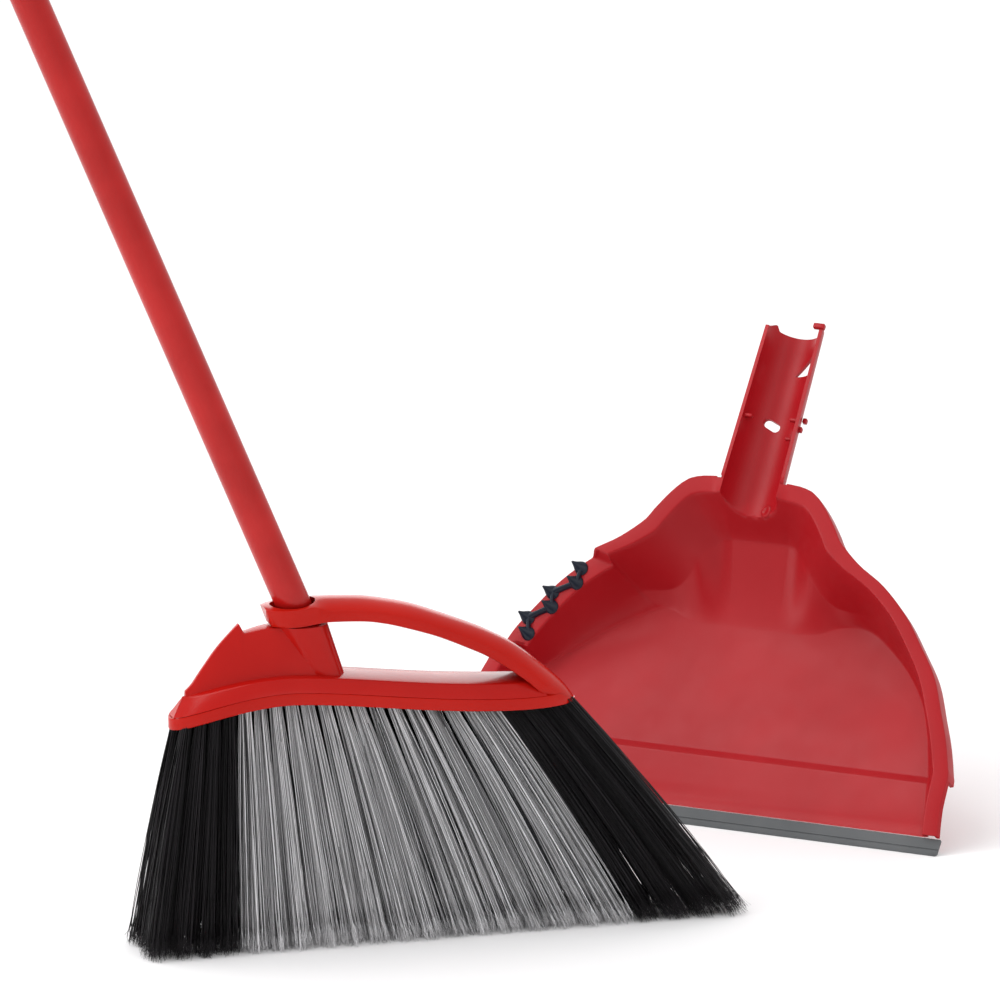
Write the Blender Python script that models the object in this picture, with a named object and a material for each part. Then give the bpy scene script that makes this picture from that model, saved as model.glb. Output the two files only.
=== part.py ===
"""Angle broom with a loop guard on its head, and the snap-on dustpan that goes with it.

Lengths in the tables are millimetres and are scaled to metres where a mesh is made.
The broom is modelled first: X runs along the bristle fan, -Y is its front and the
floor is Z = 0. The dustpan has a frame of its own, with its lip on the floor.
"""

from math import cos, pi, radians, sin, sqrt, tan

import bmesh
import bpy
from mathutils import Matrix, Vector

MM = 0.001
GAP = 0.3
SHARP_ANGLE = 35.0
ROUND_SIDES = 28
THREAD_SIDES = 20

# Broom head, seen from above: a long oval, and an arched lower edge.
HEAD_CENTRE_X = -32.5
HEAD_HALF_LENGTH = 124.8
HEAD_HALF_DEPTH = 22.0
HEAD_SQUARENESS = 3.0
ARCH_TOP_X = -90.0
ARCH_TOP_Z = 149.6
ARCH_LEFT_DROP = 14.6
ARCH_LEFT_RUN = 67.0
ARCH_RIGHT_DROP = 14.0
ARCH_RIGHT_RUN = 165.0
BAND_HEIGHT = 7.3
BAND_WALL = 2.8
BAND_END_X = 78.0
BAND_END_RUN = 13.0
BAND_END_DROP = 0.7
COVER_RISE = 15.3
COVER_INSET = 6.0
COVER_CROWN = 1.0
COVER_WALL = 2.5
BLOCK_RISE = 9.8
BLOCK_SHOULDER = 10.5

# Guard bow: pairs of points on its underside and on its crown, left to right.
BOW_UNDERSIDE = (
    (-95.5, 194.7), (-93.0, 194.6), (-86.0, 194.6), (-78.0, 195.0), (-70.0, 196.0),
    (-62.0, 196.6), (-42.0, 195.6), (-29.0, 193.4), (-16.0, 189.8), (4.0, 183.0),
    (24.0, 174.0), (34.0, 169.0), (44.0, 162.6), (52.0, 157.0), (59.0, 151.5),
    (65.0, 146.0), (70.0, 141.0), (74.0, 136.5),
)
BOW_CROWN = (
    (-99.7, 206.0), (-97.0, 206.2), (-88.0, 206.6), (-78.0, 207.2), (-70.0, 208.4),
    (-61.0, 209.0), (-40.0, 207.6), (-25.0, 205.0), (-9.0, 201.0), (9.0, 194.3),
    (28.0, 186.4), (38.4, 181.5), (51.0, 174.6), (60.0, 168.3), (69.0, 161.0),
    (77.6, 153.6), (86.0, 145.2), (91.6, 137.3),
)
BOW_HALF_DEPTH = 15.0
BOW_END_SPREAD = 3.0
BOW_COLLAR_X = -80.0
BOW_COLLAR_REACH = 20.0
BOW_FLAT_START = 0.66
BOW_FLAT_END = 0.33
BOW_REAR_SLOT = 1.6

# Pole and its socket, on one leaning axis.
AXIS_X = -77.0
AXIS_Z = 196.5
POLE_LEAN = 22.77
POLE_RADIUS = 10.5
POLE_WALL = 0.5
POLE_START = -6.0
POLE_LENGTH = 1220.0
COLLAR_HOLE_RADIUS = 13.0
SOCKET_MOUTH_Z = 194.0
SOCKET_FOOT_Z = 160.3
SOCKET_RADIUS = 15.0
SOCKET_TAPER = 0.085
SOCKET_BORE = 10.2
SOCKET_COUNTERBORE = 11.4
SOCKET_COUNTERBORE_DEPTH = 8.0
THREAD_LENGTH = 28.0
THREAD_CORE = 8.5
THREAD_CREST = 9.55
THREAD_PITCH = 5.08
SPIGOT_RADIUS = 9.7
SPIGOT_LENGTH = 26.0
CAP_RADIUS = 12.2
CAP_SLEEVE = 26.0
CAP_EYE_LENGTH = 34.0
CAP_EYE_THICKNESS = 9.0
CAP_HOLE_RADIUS = 6.5

# Fin beside the socket: its top edge from its thin left end to the socket.
FIN_EDGE = (
    (-147.4, 157.6), (-143.4, 161.5), (-137.7, 169.6), (-128.5, 182.0),
    (-120.1, 191.0), (-114.5, 196.4), (-111.4, 190.8), (-97.0, 193.7),
    (-77.0, 193.7),
)
FIN_LEFT_X = -149.0
FIN_SPREAD = 50.0
FIN_FOOT_HALF = 11.0
FIN_EDGE_HALF = 1.3
FIN_TOP_HALF = 7.0
FIN_SOCKET_FOOT_X = -64.0

# Bristle tufts: two rows that spread from the block to the floor.
FRONT_TUFTS = 23
REAR_TUFTS = 23
END_BLACK_TUFTS = 4
ROOT_LEFT = -148.5
ROOT_RIGHT = 82.5
TIP_LEFT = -171.0
TIP_RIGHT = 186.0
ROOT_CROWDING = 0.055
TIP_CROWDING = 0.03
ROOT_ROW_Y = 9.2
TIP_ROW_Y = 15.0
ROOT_RADIUS = 4.0
ROOT_DROP = 1.2
TIP_HALF_WIDTH = 7.7
TIP_HALF_DEPTH = 13.2
TUFT_SIDES = 8

# Dustpan frame: the lip's middle on the floor, its turn and the lean of its floor plate.
PAN_X = 217.3
PAN_Y = 175.2
PAN_YAW = -41.8
PAN_LEAN = 43.25
RIM_SLOPE = 17.5
RIM_BASE = 3.0
RIM_WIDTH = 10.5
PAN_WALL = 2.3
LIP_LENGTH = 10.5
LIP_HALF_WIDTH = 167.5
LIP_EDGE = 0.8
LIP_ROOT = 3.0
RAMP_TOP = 46.0
RAMP_FOOT = 52.0
RAMP_START_Z = 3.0
RAMP_TOP_Z = 5.0
SKIRT_DEPTH = 11.0
SKIRT_FLARE = 0.8
# Half outline of the rim and of the flat floor inside it: across, and along from the lip.
RIM_OUTLINE = (
    (166.4, 10.8), (165.0, 28.0), (165.9, 46.0), (164.8, 52.0), (160.0, 68.0),
    (154.0, 83.0), (145.0, 104.0), (132.0, 122.0), (118.0, 139.0), (100.0, 154.5),
    (82.0, 165.0), (67.0, 177.0), (62.0, 184.0), (53.0, 195.5), (44.0, 204.0),
    (35.0, 207.4), (24.0, 208.5),
)
FLOOR_OUTLINE = (
    (157.0, 10.8), (152.0, 28.0), (147.5, 46.0), (146.0, 52.0), (141.5, 67.0),
    (136.0, 83.0), (127.0, 102.0), (112.0, 121.0), (94.0, 136.5), (76.0, 148.5),
    (59.0, 157.0), (47.0, 163.0), (41.0, 166.0), (35.0, 168.8), (30.0, 170.4),
    (25.0, 171.5), (19.0, 172.2),
)
WALL_CONTROL = 0.45
HANDLE_START = 208.5
HANDLE_END = 315.0
HANDLE_SLOPE = 6.5
HANDLE_RADIUS = 19.0
HANDLE_TOP_RADIUS = 17.0
HANDLE_NOTCH = 3.5
HANDLE_LEFT_CUT = 5.0
LEDGE_DROP = 8.0
LEDGE_WIDTH = 15.5
LEDGE_FROM = 95.0
LEDGE_TO = 157.0
LEDGE_RAMP = 6.0
TOOTH_COUNT = 6
TOOTH_RADIUS = 3.9
TOOTH_HEIGHT = 7.0
TOOTH_REACH = 4.8
TOOTH_ROW = 3.9
RUNNER_HALF = 1.8
RUNNER_HEIGHT = 2.6

# Colours: linear red, green, blue; roughness; metallic.
HEAD_RED = ((0.60, 0.015, 0.012), 0.25, 0.0)
COVER_RED = ((0.54, 0.018, 0.016), 0.28, 0.0)
PAN_RED = ((0.42, 0.018, 0.022), 0.42, 0.0)
POLE_RED = ((0.45, 0.012, 0.012), 0.28, 0.5)
BLACK_PLASTIC = ((0.02, 0.02, 0.022), 0.45, 0.0)
LIP_GREY = ((0.07, 0.075, 0.08), 0.6, 0.0)
COMB_NAVY = ((0.012, 0.018, 0.03), 0.4, 0.0)
TUFT_BLACK = ((0.02, 0.02, 0.022), 0.5, 0.0)
TUFT_GREY = ((0.42, 0.42, 0.44), 0.45, 0.0)


def clear_scene():
    """Remove every object that a new file opens with."""
    for old in list(bpy.data.objects):
        bpy.data.objects.remove(old, do_unlink=True)


def material(name, finish):
    """One Principled material, made once and then reused."""
    if name in bpy.data.materials:
        return bpy.data.materials[name]
    made = bpy.data.materials.new(name)
    made.use_nodes = True
    shader = made.node_tree.nodes["Principled BSDF"]
    colour, roughness, metallic = finish
    shader.inputs["Base Color"].default_value = (*colour, 1.0)
    shader.inputs["Roughness"].default_value = roughness
    shader.inputs["Metallic"].default_value = metallic
    made.diffuse_color = (*colour, 1.0)
    return made


def empty(name, matrix, parent=None):
    """A frame that pieces are parented to."""
    frame = bpy.data.objects.new(name, None)
    bpy.context.collection.objects.link(frame)
    frame.parent = parent
    frame.matrix_local = matrix
    return frame


def face_outwards(mesh):
    """Turn a closed mesh's faces outwards."""
    work = bmesh.new()
    work.from_mesh(mesh)
    bmesh.ops.recalc_face_normals(work, faces=work.faces)
    if work.calc_volume(signed=True) < 0.0:
        bmesh.ops.reverse_faces(work, faces=work.faces)
    work.to_mesh(mesh)
    work.free()


def piece(name, points, faces, parent, slot=None, finish=None, closed=True):
    """A mesh object from points in millimetres; a piece without a finish is a cutter."""
    mesh = bpy.data.meshes.new(name)
    mesh.from_pydata([Vector(p) * MM for p in points], [], faces)
    mesh.update()
    if closed:
        face_outwards(mesh)
    made = bpy.data.objects.new(name, mesh)
    bpy.context.collection.objects.link(made)
    made.parent = parent
    if finish is None:
        made.hide_render = True
        made.display_type = "WIRE"
    else:
        mesh.materials.append(material(slot, finish))
        mesh.shade_smooth()
        mesh.set_sharp_from_angle(angle=radians(SHARP_ANGLE))
    return made


def loft(rings, closed=False):
    """Skin equal rings; the ends are capped unless the last ring meets the first."""
    count = len(rings[0])
    points = [p for ring in rings for p in ring]
    faces = []
    for i in range(len(rings) if closed else len(rings) - 1):
        here = i * count
        after = (i + 1) % len(rings) * count
        for j in range(count):
            k = (j + 1) % count
            faces.append((here + j, here + k, after + k, after + j))
    if not closed:
        faces.append(tuple(reversed(range(count))))
        faces.append(tuple(range(len(points) - count, len(points))))
    return points, faces


def boolean(target, tool, operation):
    """An exact Boolean modifier."""
    cut = target.modifiers.new(tool.name, "BOOLEAN")
    cut.solver = "EXACT"
    cut.operation = operation
    cut.object = tool


def smooth_step(value):
    """0 below 0, 1 above 1 and an eased rise between."""
    t = min(1.0, max(0.0, value))
    return t * t * (3.0 - 2.0 * t)


def band_foot(x):
    """Height of the head's arched lower edge."""
    if x < ARCH_TOP_X:
        return ARCH_TOP_Z - ARCH_LEFT_DROP * ((ARCH_TOP_X - x) / ARCH_LEFT_RUN) ** 1.8
    t = min(1.0, (x - ARCH_TOP_X) / ARCH_RIGHT_RUN) ** 0.8
    return ARCH_TOP_Z - ARCH_RIGHT_DROP * (1.0 - cos(pi * t)) / 2.0


def half_depth(x, inset=0.0):
    """Half the head's depth at x, for an oval that is inset all round."""
    t = min(1.0, abs(x - HEAD_CENTRE_X) / (HEAD_HALF_LENGTH - inset))
    return (HEAD_HALF_DEPTH - inset) * sqrt(max(0.0, 1.0 - t ** (2.0 * HEAD_SQUARENESS)))


def oval_point(angle, inset):
    """A point on the head's oval plan, inset all round."""
    reach = abs(cos(angle)) ** (1.0 / HEAD_SQUARENESS)
    side = 1.0 if cos(angle) > 0 else -1.0
    x = HEAD_CENTRE_X + side * reach * (HEAD_HALF_LENGTH - inset)
    return x, -(HEAD_HALF_DEPTH - inset) * sin(angle)


def make_head_frame(parent, pole_frame):
    """The band round the head's foot, the guard bow and the collar, as one moulding."""
    rings = []
    sides = 44
    for k in range(sides):
        angle = 2.0 * pi * (k + 0.5) / sides
        outer_x, outer_y = oval_point(angle, 0.0)
        inner_x, inner_y = oval_point(angle, BAND_WALL)
        foot = band_foot(outer_x)
        top = foot + BAND_HEIGHT * (1.0 - BAND_END_DROP * smooth_step((outer_x - BAND_END_X) / BAND_END_RUN))
        rings.append([
            (outer_x, outer_y, foot), (inner_x, inner_y, foot),
            (inner_x, inner_y, top), (outer_x, outer_y, top),
        ])
    band = piece("head_frame", *loft(rings, closed=True), parent, "head", HEAD_RED)
    bow = piece("bow_solid", *loft(bow_rings()), parent)
    hole_profile = [(-30.0, COLLAR_HOLE_RADIUS), (30.0, COLLAR_HOLE_RADIUS)]
    hole = piece("collar_hole", *turned(hole_profile), pole_frame)
    slot = piece("bow_slot", *loft(bow_rear_rings(0.0)), parent)
    boolean(band, bow, "UNION")
    boolean(band, hole, "DIFFERENCE")
    boolean(band, slot, "DIFFERENCE")
    return band


def bow_section(low, high, along):
    """Half depth, end of the flat side and direction of one bow section."""
    middle = (low[0] + high[0]) / 2.0
    half = BOW_HALF_DEPTH + BOW_END_SPREAD * smooth_step((middle - 40.0) / 35.0)
    if middle < BOW_COLLAR_X:
        half *= sqrt(max(0.03, 1.0 - ((BOW_COLLAR_X - middle) / BOW_COLLAR_REACH) ** 2))
    flat = BOW_FLAT_START + (BOW_FLAT_END - BOW_FLAT_START) * along
    crown_start = flat + (0.97 - flat) * smooth_step((-62.0 - middle) / 12.0)
    return half, crown_start


def bow_rings():
    """Sections of the bow: flat sides and an elliptical crown."""
    rings = []
    last = len(BOW_UNDERSIDE) - 1
    for i, (low, high) in enumerate(zip(BOW_UNDERSIDE, BOW_CROWN)):
        half, flat = bow_section(low, high, i / last)
        ring = []
        profile = [(-1.0, 0.0)]
        for step in range(9):
            angle = pi * step / 8.0
            profile.append((-cos(angle), flat + (1.0 - flat) * sin(angle)))
        profile.append((1.0, 0.0))
        for across, up in profile:
            x = low[0] + (high[0] - low[0]) * up
            z = low[1] + (high[1] - low[1]) * up
            limit = half_depth(x) if x > 60.0 else half
            ring.append((x, across * min(half, limit), z))
        rings.append(ring)
    return rings


def bow_rear_rings(clearance):
    """Sections of the closing strip in the bow's rear face, or of the slot it sits in."""
    rings = []
    last = len(BOW_UNDERSIDE) - 1
    for i in range(6, 15):
        low, high = BOW_UNDERSIDE[i], BOW_CROWN[i]
        half, flat = bow_section(low, high, i / last)
        bottom = 0.14 + clearance / 12.0
        top = flat - 0.02 - clearance / 12.0
        deep = half - BOW_REAR_SLOT + clearance
        face = half + 0.5 - (0.5 if clearance else 0.0)
        ring = []
        for y, up in ((deep, bottom), (face, bottom), (face, top), (deep, top)):
            ring.append((low[0] + (high[0] - low[0]) * up, y, low[1] + (high[1] - low[1]) * up))
        rings.append(ring)
    first, end = rings[0], rings[-1]
    trim = clearance / 20.0
    rings[0] = [tuple(a + (b - a) * trim for a, b in zip(p, q)) for p, q in zip(first, rings[1])]
    rings[-1] = [tuple(a + (b - a) * trim for a, b in zip(p, q)) for p, q in zip(end, rings[-2])]
    return rings


def make_bow_rear_strip(parent):
    """The strip that closes the bow's hollow rear face."""
    return piece("bow_rear_strip", *loft(bow_rear_rings(GAP)), parent, "head", HEAD_RED)


def cover_stations():
    """Along the cover: how far each section is from left to right, dense at the ends."""
    count = 22
    return [0.5 - 0.5 * cos(pi * i / count) for i in range(count + 1)]


def cover_ring(t, inset, lower):
    """One section of the cover; its right end slants along the underside of the bow."""
    left_foot, left_top = -155.8 + inset, -149.0 + inset
    right_foot, right_top = 67.2 - inset, 57.0 - inset
    foot_x = left_foot + (right_foot - left_foot) * t
    top_x = left_top + (right_top - left_top) * t
    foot_half = max(1.5, half_depth(foot_x) - GAP - inset)
    top_half = max(1.0, half_depth(foot_x) - COVER_INSET - inset * 0.8)
    foot_z = band_foot(foot_x) + BAND_HEIGHT + GAP - lower
    top_z = band_foot(top_x) + COVER_RISE - inset
    crown_z = top_z + COVER_CROWN
    return [
        (foot_x, -foot_half, foot_z), (foot_x, foot_half, foot_z),
        (top_x, top_half, top_z), (top_x, top_half * 0.5, crown_z - 0.25),
        (top_x, -top_half * 0.5, crown_z - 0.25), (top_x, -top_half, top_z),
    ]


def make_head_cover(parent, pole_frame):
    """The upper cover with its fin and the pole socket, as one moulding."""
    stations = cover_stations()
    cover = piece(
        "head_cover", *loft([cover_ring(t, 0.0, 0.0) for t in stations]), parent, "cover", COVER_RED
    )
    hollow = piece("cover_hollow", *loft([cover_ring(t, COVER_WALL, 2.0) for t in stations]), parent)
    fin = piece("fin_solid", *fin_mesh(), parent)
    socket = piece("socket_solid", *socket_mesh(), parent)
    bore = piece("socket_bore", *turned([(-60.0, SOCKET_BORE), (20.0, SOCKET_BORE)]), pole_frame)
    mouth_profile = [(-SOCKET_COUNTERBORE_DEPTH, SOCKET_COUNTERBORE), (20.0, SOCKET_COUNTERBORE)]
    mouth = piece("socket_mouth", *turned(mouth_profile), pole_frame)
    boolean(cover, hollow, "DIFFERENCE")
    boolean(cover, fin, "UNION")
    boolean(cover, socket, "UNION")
    boolean(cover, bore, "DIFFERENCE")
    boolean(cover, mouth, "DIFFERENCE")
    return cover


def fin_mesh():
    """The fin: thin along its left edge and wide at its foot, which is inside the cover's roof."""
    rings = []
    for x, top_z in FIN_EDGE:
        foot_x = FIN_SOCKET_FOOT_X if x == FIN_EDGE[-1][0] else x
        foot_half = FIN_FOOT_HALF * sqrt(min(1.0, (x - FIN_LEFT_X) / FIN_SPREAD))
        top_half = FIN_EDGE_HALF + (FIN_TOP_HALF - FIN_EDGE_HALF) * smooth_step((x + 112.0) / 25.0)
        foot_z = band_foot(x) + COVER_RISE - 0.9
        rings.append([
            (foot_x, -foot_half, foot_z), (foot_x, foot_half, foot_z),
            (x, top_half, top_z), (x, -top_half, top_z),
        ])
    return loft(rings)


def socket_mesh():
    """The tapered socket, cut level at its mouth and inside the cover's roof."""
    lean = radians(POLE_LEAN)
    sides = 32
    rings = []
    for level in (SOCKET_FOOT_Z, SOCKET_MOUTH_Z):
        ring = []
        for k in range(sides):
            angle = 2.0 * pi * k / sides
            tilt = sin(lean) * cos(angle)
            along = (level - AXIS_Z - tilt * SOCKET_RADIUS) / (cos(lean) + tilt * SOCKET_TAPER)
            radius = SOCKET_RADIUS + SOCKET_TAPER * along
            ring.append((
                AXIS_X - sin(lean) * along + cos(lean) * radius * cos(angle),
                radius * sin(angle),
                level,
            ))
        rings.append(ring)
    return loft(rings)


def circle(radius, height, sides=ROUND_SIDES):
    """A ring of points about the local Z axis."""
    angles = [2.0 * pi * k / sides for k in range(sides)]
    return [(radius * cos(angle), radius * sin(angle), height) for angle in angles]


def turned(profile, sides=ROUND_SIDES):
    """A solid turned about the local Z axis from (height, radius) pairs, bottom to top."""
    return loft([circle(radius, height, sides) for height, radius in profile])


def make_bristle_block(parent):
    """The block that holds the tufts, inside the band and under the cover."""
    rings = []
    count = 18
    for i in range(count + 1):
        t = 0.5 - 0.5 * cos(pi * i / count)
        low_x = -151.0 + (63.5 + 151.0) * t
        high_x = -146.0 + (56.0 + 146.0) * t
        low_half = half_depth(low_x, BAND_WALL) - GAP
        high_half = max(0.8, half_depth(low_x) - BLOCK_SHOULDER)
        foot = band_foot(low_x) + 0.6
        shoulder = band_foot(low_x) + BAND_HEIGHT - 0.4
        top = band_foot(high_x) + BLOCK_RISE
        rings.append([
            (low_x, -low_half, foot), (low_x, low_half, foot), (low_x, low_half, shoulder),
            (low_x, high_half, shoulder), (high_x, high_half, top),
            (high_x, -high_half, top), (low_x, -high_half, shoulder), (low_x, -low_half, shoulder),
        ])
    return piece("bristle_block", *loft(rings), parent, "block", BLACK_PLASTIC)


def make_tuft(name, share, side, grey, parent):
    """One tuft: a tapered bunch from its root under the block to the floor.

    The tufts stand a little closer together towards the left.
    """
    crowding = sin(pi * share)
    root_x = ROOT_LEFT + (ROOT_RIGHT - ROOT_LEFT) * (share - ROOT_CROWDING * crowding)
    tip_x = TIP_LEFT + (TIP_RIGHT - TIP_LEFT) * (share - TIP_CROWDING * crowding)
    root_y = side * min(ROOT_ROW_Y, half_depth(root_x) - ROOT_RADIUS - 0.6)
    rings = []
    for level in (0, 1):
        ring = []
        for k in range(TUFT_SIDES):
            angle = 2.0 * pi * (k + 0.5) / TUFT_SIDES
            if level:
                x = root_x + ROOT_RADIUS * cos(angle)
                ring.append((x, root_y + ROOT_RADIUS * sin(angle), band_foot(x) - ROOT_DROP))
            else:
                y = side * TIP_ROW_Y + TIP_HALF_DEPTH * sin(angle)
                ring.append((tip_x + TIP_HALF_WIDTH * cos(angle), y, 0.0))
        rings.append(ring)
    slot, finish = ("tuft_grey", TUFT_GREY) if grey else ("tuft_black", TUFT_BLACK)
    return piece(name, *loft(rings), parent, slot, finish)


def make_tufts(parent):
    """Grey tufts between black ones in the front row, and a black rear row behind them."""
    for i in range(FRONT_TUFTS):
        grey = END_BLACK_TUFTS <= i < FRONT_TUFTS - END_BLACK_TUFTS
        make_tuft(f"tuft_front_{i + 1:02d}", i / (FRONT_TUFTS - 1), -1.0, grey, parent)
    for i in range(REAR_TUFTS):
        make_tuft(f"tuft_rear_{i + 1:02d}", i / (REAR_TUFTS - 1), 1.0, False, parent)


def make_pole(pole_frame):
    """The painted steel tube, open at both ends."""
    inner = POLE_RADIUS - POLE_WALL
    top = POLE_START + POLE_LENGTH
    rings = [
        circle(POLE_RADIUS, POLE_START), circle(POLE_RADIUS, top),
        circle(inner, top), circle(inner, POLE_START),
    ]
    return piece("pole_tube", *loft(rings, closed=True), pole_frame, "pole", POLE_RED)


def thread_radius(depth, turn):
    """Radius of the screw thread at a depth below the pole, part of a turn round."""
    phase = (depth / THREAD_PITCH + turn) % 1.0
    ridge = smooth_step(2.2 * (1.0 - abs(2.0 * phase - 1.0)) - 0.6)
    fade = smooth_step(depth / 4.0) * smooth_step((THREAD_LENGTH - depth) / 5.0)
    return THREAD_CORE + (THREAD_CREST - THREAD_CORE) * ridge * fade


def make_pole_tip(pole_frame):
    """The threaded tip: a helical thread, a collar under the tube and a spigot inside it."""
    start = POLE_START - GAP
    steps = 26
    rings = [circle(THREAD_CORE - 1.5, start - THREAD_LENGTH, THREAD_SIDES)]
    for i in range(1, steps):
        depth = THREAD_LENGTH * (1.0 - i / steps)
        ring = []
        for k in range(THREAD_SIDES):
            turn = k / THREAD_SIDES
            radius = thread_radius(depth, turn)
            ring.append((radius * cos(2.0 * pi * turn), radius * sin(2.0 * pi * turn), start - depth))
        rings.append(ring)
    for radius, height in (
        (THREAD_CORE, start - 0.6), (POLE_RADIUS, start - 0.5), (POLE_RADIUS, start),
        (SPIGOT_RADIUS, start + 0.01), (SPIGOT_RADIUS, start + SPIGOT_LENGTH - 2.0),
        (SPIGOT_RADIUS - 1.5, start + SPIGOT_LENGTH),
    ):
        rings.append(circle(radius, height, THREAD_SIDES))
    return piece("pole_thread_tip", *loft(rings), pole_frame, "black_plastic", BLACK_PLASTIC)


def make_pole_cap(pole_frame):
    """The cap on the pole's upper end: a sleeve, a plug and a flat eye to hang it by."""
    top = POLE_START + POLE_LENGTH
    eye_flat = CAP_EYE_THICKNESS / 2.0 / CAP_RADIUS
    rings = []
    for radius, height, flat in (
        (SPIGOT_RADIUS, top - 20.0, 1.0), (SPIGOT_RADIUS, top + GAP, 1.0),
        (POLE_RADIUS + GAP, top + GAP + 0.01, 1.0), (POLE_RADIUS + GAP, top - CAP_SLEEVE, 1.0),
        (CAP_RADIUS, top - CAP_SLEEVE, 1.0), (CAP_RADIUS, top + 3.0, 1.0),
        (CAP_RADIUS - 0.3, top + 7.0, 0.75), (CAP_RADIUS - 0.6, top + 11.0, eye_flat),
        (CAP_RADIUS - 1.2, top + 0.7 * CAP_EYE_LENGTH, eye_flat),
        (CAP_RADIUS - 4.0, top + 0.9 * CAP_EYE_LENGTH, eye_flat),
        (CAP_RADIUS - 8.0, top + CAP_EYE_LENGTH, eye_flat),
    ):
        ring = []
        for x, y, z in circle(radius, height):
            limit = radius * flat
            ring.append((x, max(-limit, min(limit, y)), z))
        rings.append(ring)
    cap = piece("pole_cap", *loft(rings), pole_frame, "black_plastic", BLACK_PLASTIC)
    centre = Vector((0.0, 0.0, top + 0.58 * CAP_EYE_LENGTH)) * MM
    across = Matrix.Translation(centre) @ Matrix.Rotation(pi / 2, 4, "X")
    eye_frame = empty("hang_hole_frame", across, pole_frame)
    hole_profile = [(-20.0, CAP_HOLE_RADIUS), (20.0, CAP_HOLE_RADIUS)]
    hole = piece("hang_hole", *turned(hole_profile, THREAD_SIDES), eye_frame)
    boolean(cap, hole, "DIFFERENCE")
    return cap


def curve_at(points, t):
    """A smooth curve through the points; t counts from one point to the next."""
    i = min(len(points) - 2, max(0, int(t)))
    u = t - i
    before = points[max(0, i - 1)]
    a, b = points[i], points[i + 1]
    after = points[min(len(points) - 1, i + 2)]
    out = []
    for p0, p1, p2, p3 in zip(before, a, b, after):
        out.append(0.5 * (
            2 * p1 + (p2 - p0) * u + (2 * p0 - 5 * p1 + 4 * p2 - p3) * u * u
            + (3 * p1 - p0 - 3 * p2 + p3) * u ** 3
        ))
    return out


def station_at(along):
    """The curve value at which the rim's outline is this far from the lip."""
    low, high = 0.0, len(RIM_OUTLINE) - 1.0
    for _ in range(40):
        middle = (low + high) / 2.0
        if curve_at(RIM_OUTLINE, middle)[1] < along:
            low = middle
        else:
            high = middle
    return (low + high) / 2.0


def rim_height(along):
    """Height of the rim's top above the plane the pan lies on."""
    return RIM_BASE + along * tan(radians(RIM_SLOPE))


def floor_height(along):
    """Height of the pan's inner surface: a ramp behind the lip, then the flat floor."""
    if along <= RAMP_TOP:
        start = LIP_LENGTH + GAP
        return RAMP_START_Z + (RAMP_TOP_Z - RAMP_START_Z) * (along - start) / (RAMP_TOP - start)
    drop = min(1.0, (along - RAMP_TOP) / (RAMP_FOOT - RAMP_TOP))
    return RAMP_TOP_Z + (PAN_WALL - RAMP_TOP_Z) * drop


def channel_axis(along):
    """Height of the handle channel's axis."""
    return rim_height(HANDLE_START) + (along - HANDLE_START) * tan(radians(HANDLE_SLOPE))


def ledge_share(along):
    """0 off the comb's ledge and 1 on it, with sloping ends."""
    return min(1.0, max(0.0, min(along - LEDGE_FROM, LEDGE_TO - along) / LEDGE_RAMP))


def rim_column(t, side):
    """The pan's surface from the skirt over the rim and down to the floor at one station."""
    rim = Vector((*curve_at(RIM_OUTLINE, t), 0.0))
    foot = Vector((*curve_at(FLOOR_OUTLINE, t), 0.0))
    inward = (foot - rim).normalized()
    share = ledge_share(rim.y) if side < 0 else 0.0
    top = rim_height(rim.y) - LEDGE_DROP * share
    width = RIM_WIDTH + (LEDGE_WIDTH - RIM_WIDTH) * share
    skirt = rim_height(rim.y) - (SKIRT_DEPTH if rim.y > RAMP_TOP - 1.0 else PAN_WALL + 0.4)
    edge = rim + inward * width
    base = floor_height(rim.y)
    column = [rim - inward * SKIRT_FLARE + Vector((0, 0, skirt)), rim + Vector((0, 0, top))]
    inner_top = rim_height(edge.y) - LEDGE_DROP * share
    control = edge.lerp(foot, WALL_CONTROL)
    for step in range(5):
        u = step / 4.0
        spot = edge * (1 - u) ** 2 + control * 2 * u * (1 - u) + foot * u * u
        column.append(Vector((spot.x, spot.y, base + (inner_top - base) * (1 - u) ** 2)))
    return [(side * p.x, p.y, p.z) for p in column]


def channel_column(share):
    """The same surface across the handle's channel, from the handle's end to the floor."""
    angle = share * pi / 2.0
    rim = curve_at(RIM_OUTLINE, len(RIM_OUTLINE) - 1.0)
    foot = curve_at(FLOOR_OUTLINE, len(FLOOR_OUTLINE) - 1.0)
    column = []
    for along in (HANDLE_END, 300.0, 282.0, 258.0, 232.0, HANDLE_START):
        t = (along - HANDLE_START) / (HANDLE_END - HANDLE_START)
        radius = HANDLE_RADIUS + (HANDLE_TOP_RADIUS - HANDLE_RADIUS) * t
        if along == HANDLE_END:
            along -= HANDLE_NOTCH * smooth_step((0.8 - abs(share)) * 5.0)
            along -= HANDLE_LEFT_CUT * smooth_step((-share - 0.65) / 0.35)
        column.append((radius * sin(angle), along, channel_axis(along) - radius * cos(angle)))
    edge = Vector((HANDLE_RADIUS * sin(angle), rim[1] - RIM_WIDTH, 0.0))
    end = Vector((foot[0] * sin(angle), foot[1], 0.0))
    control = edge.lerp(end, WALL_CONTROL)
    top = rim_height(edge.y)
    for step in range(5):
        u = step / 4.0
        spot = edge * (1 - u) ** 2 + control * 2 * u * (1 - u) + end * u * u
        wall = PAN_WALL + (top - PAN_WALL) * (1 - u) ** 2
        trough = channel_axis(spot.y) - HANDLE_RADIUS * cos(angle)
        column.append((spot.x, spot.y, min(wall, trough)))
    return column


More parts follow.
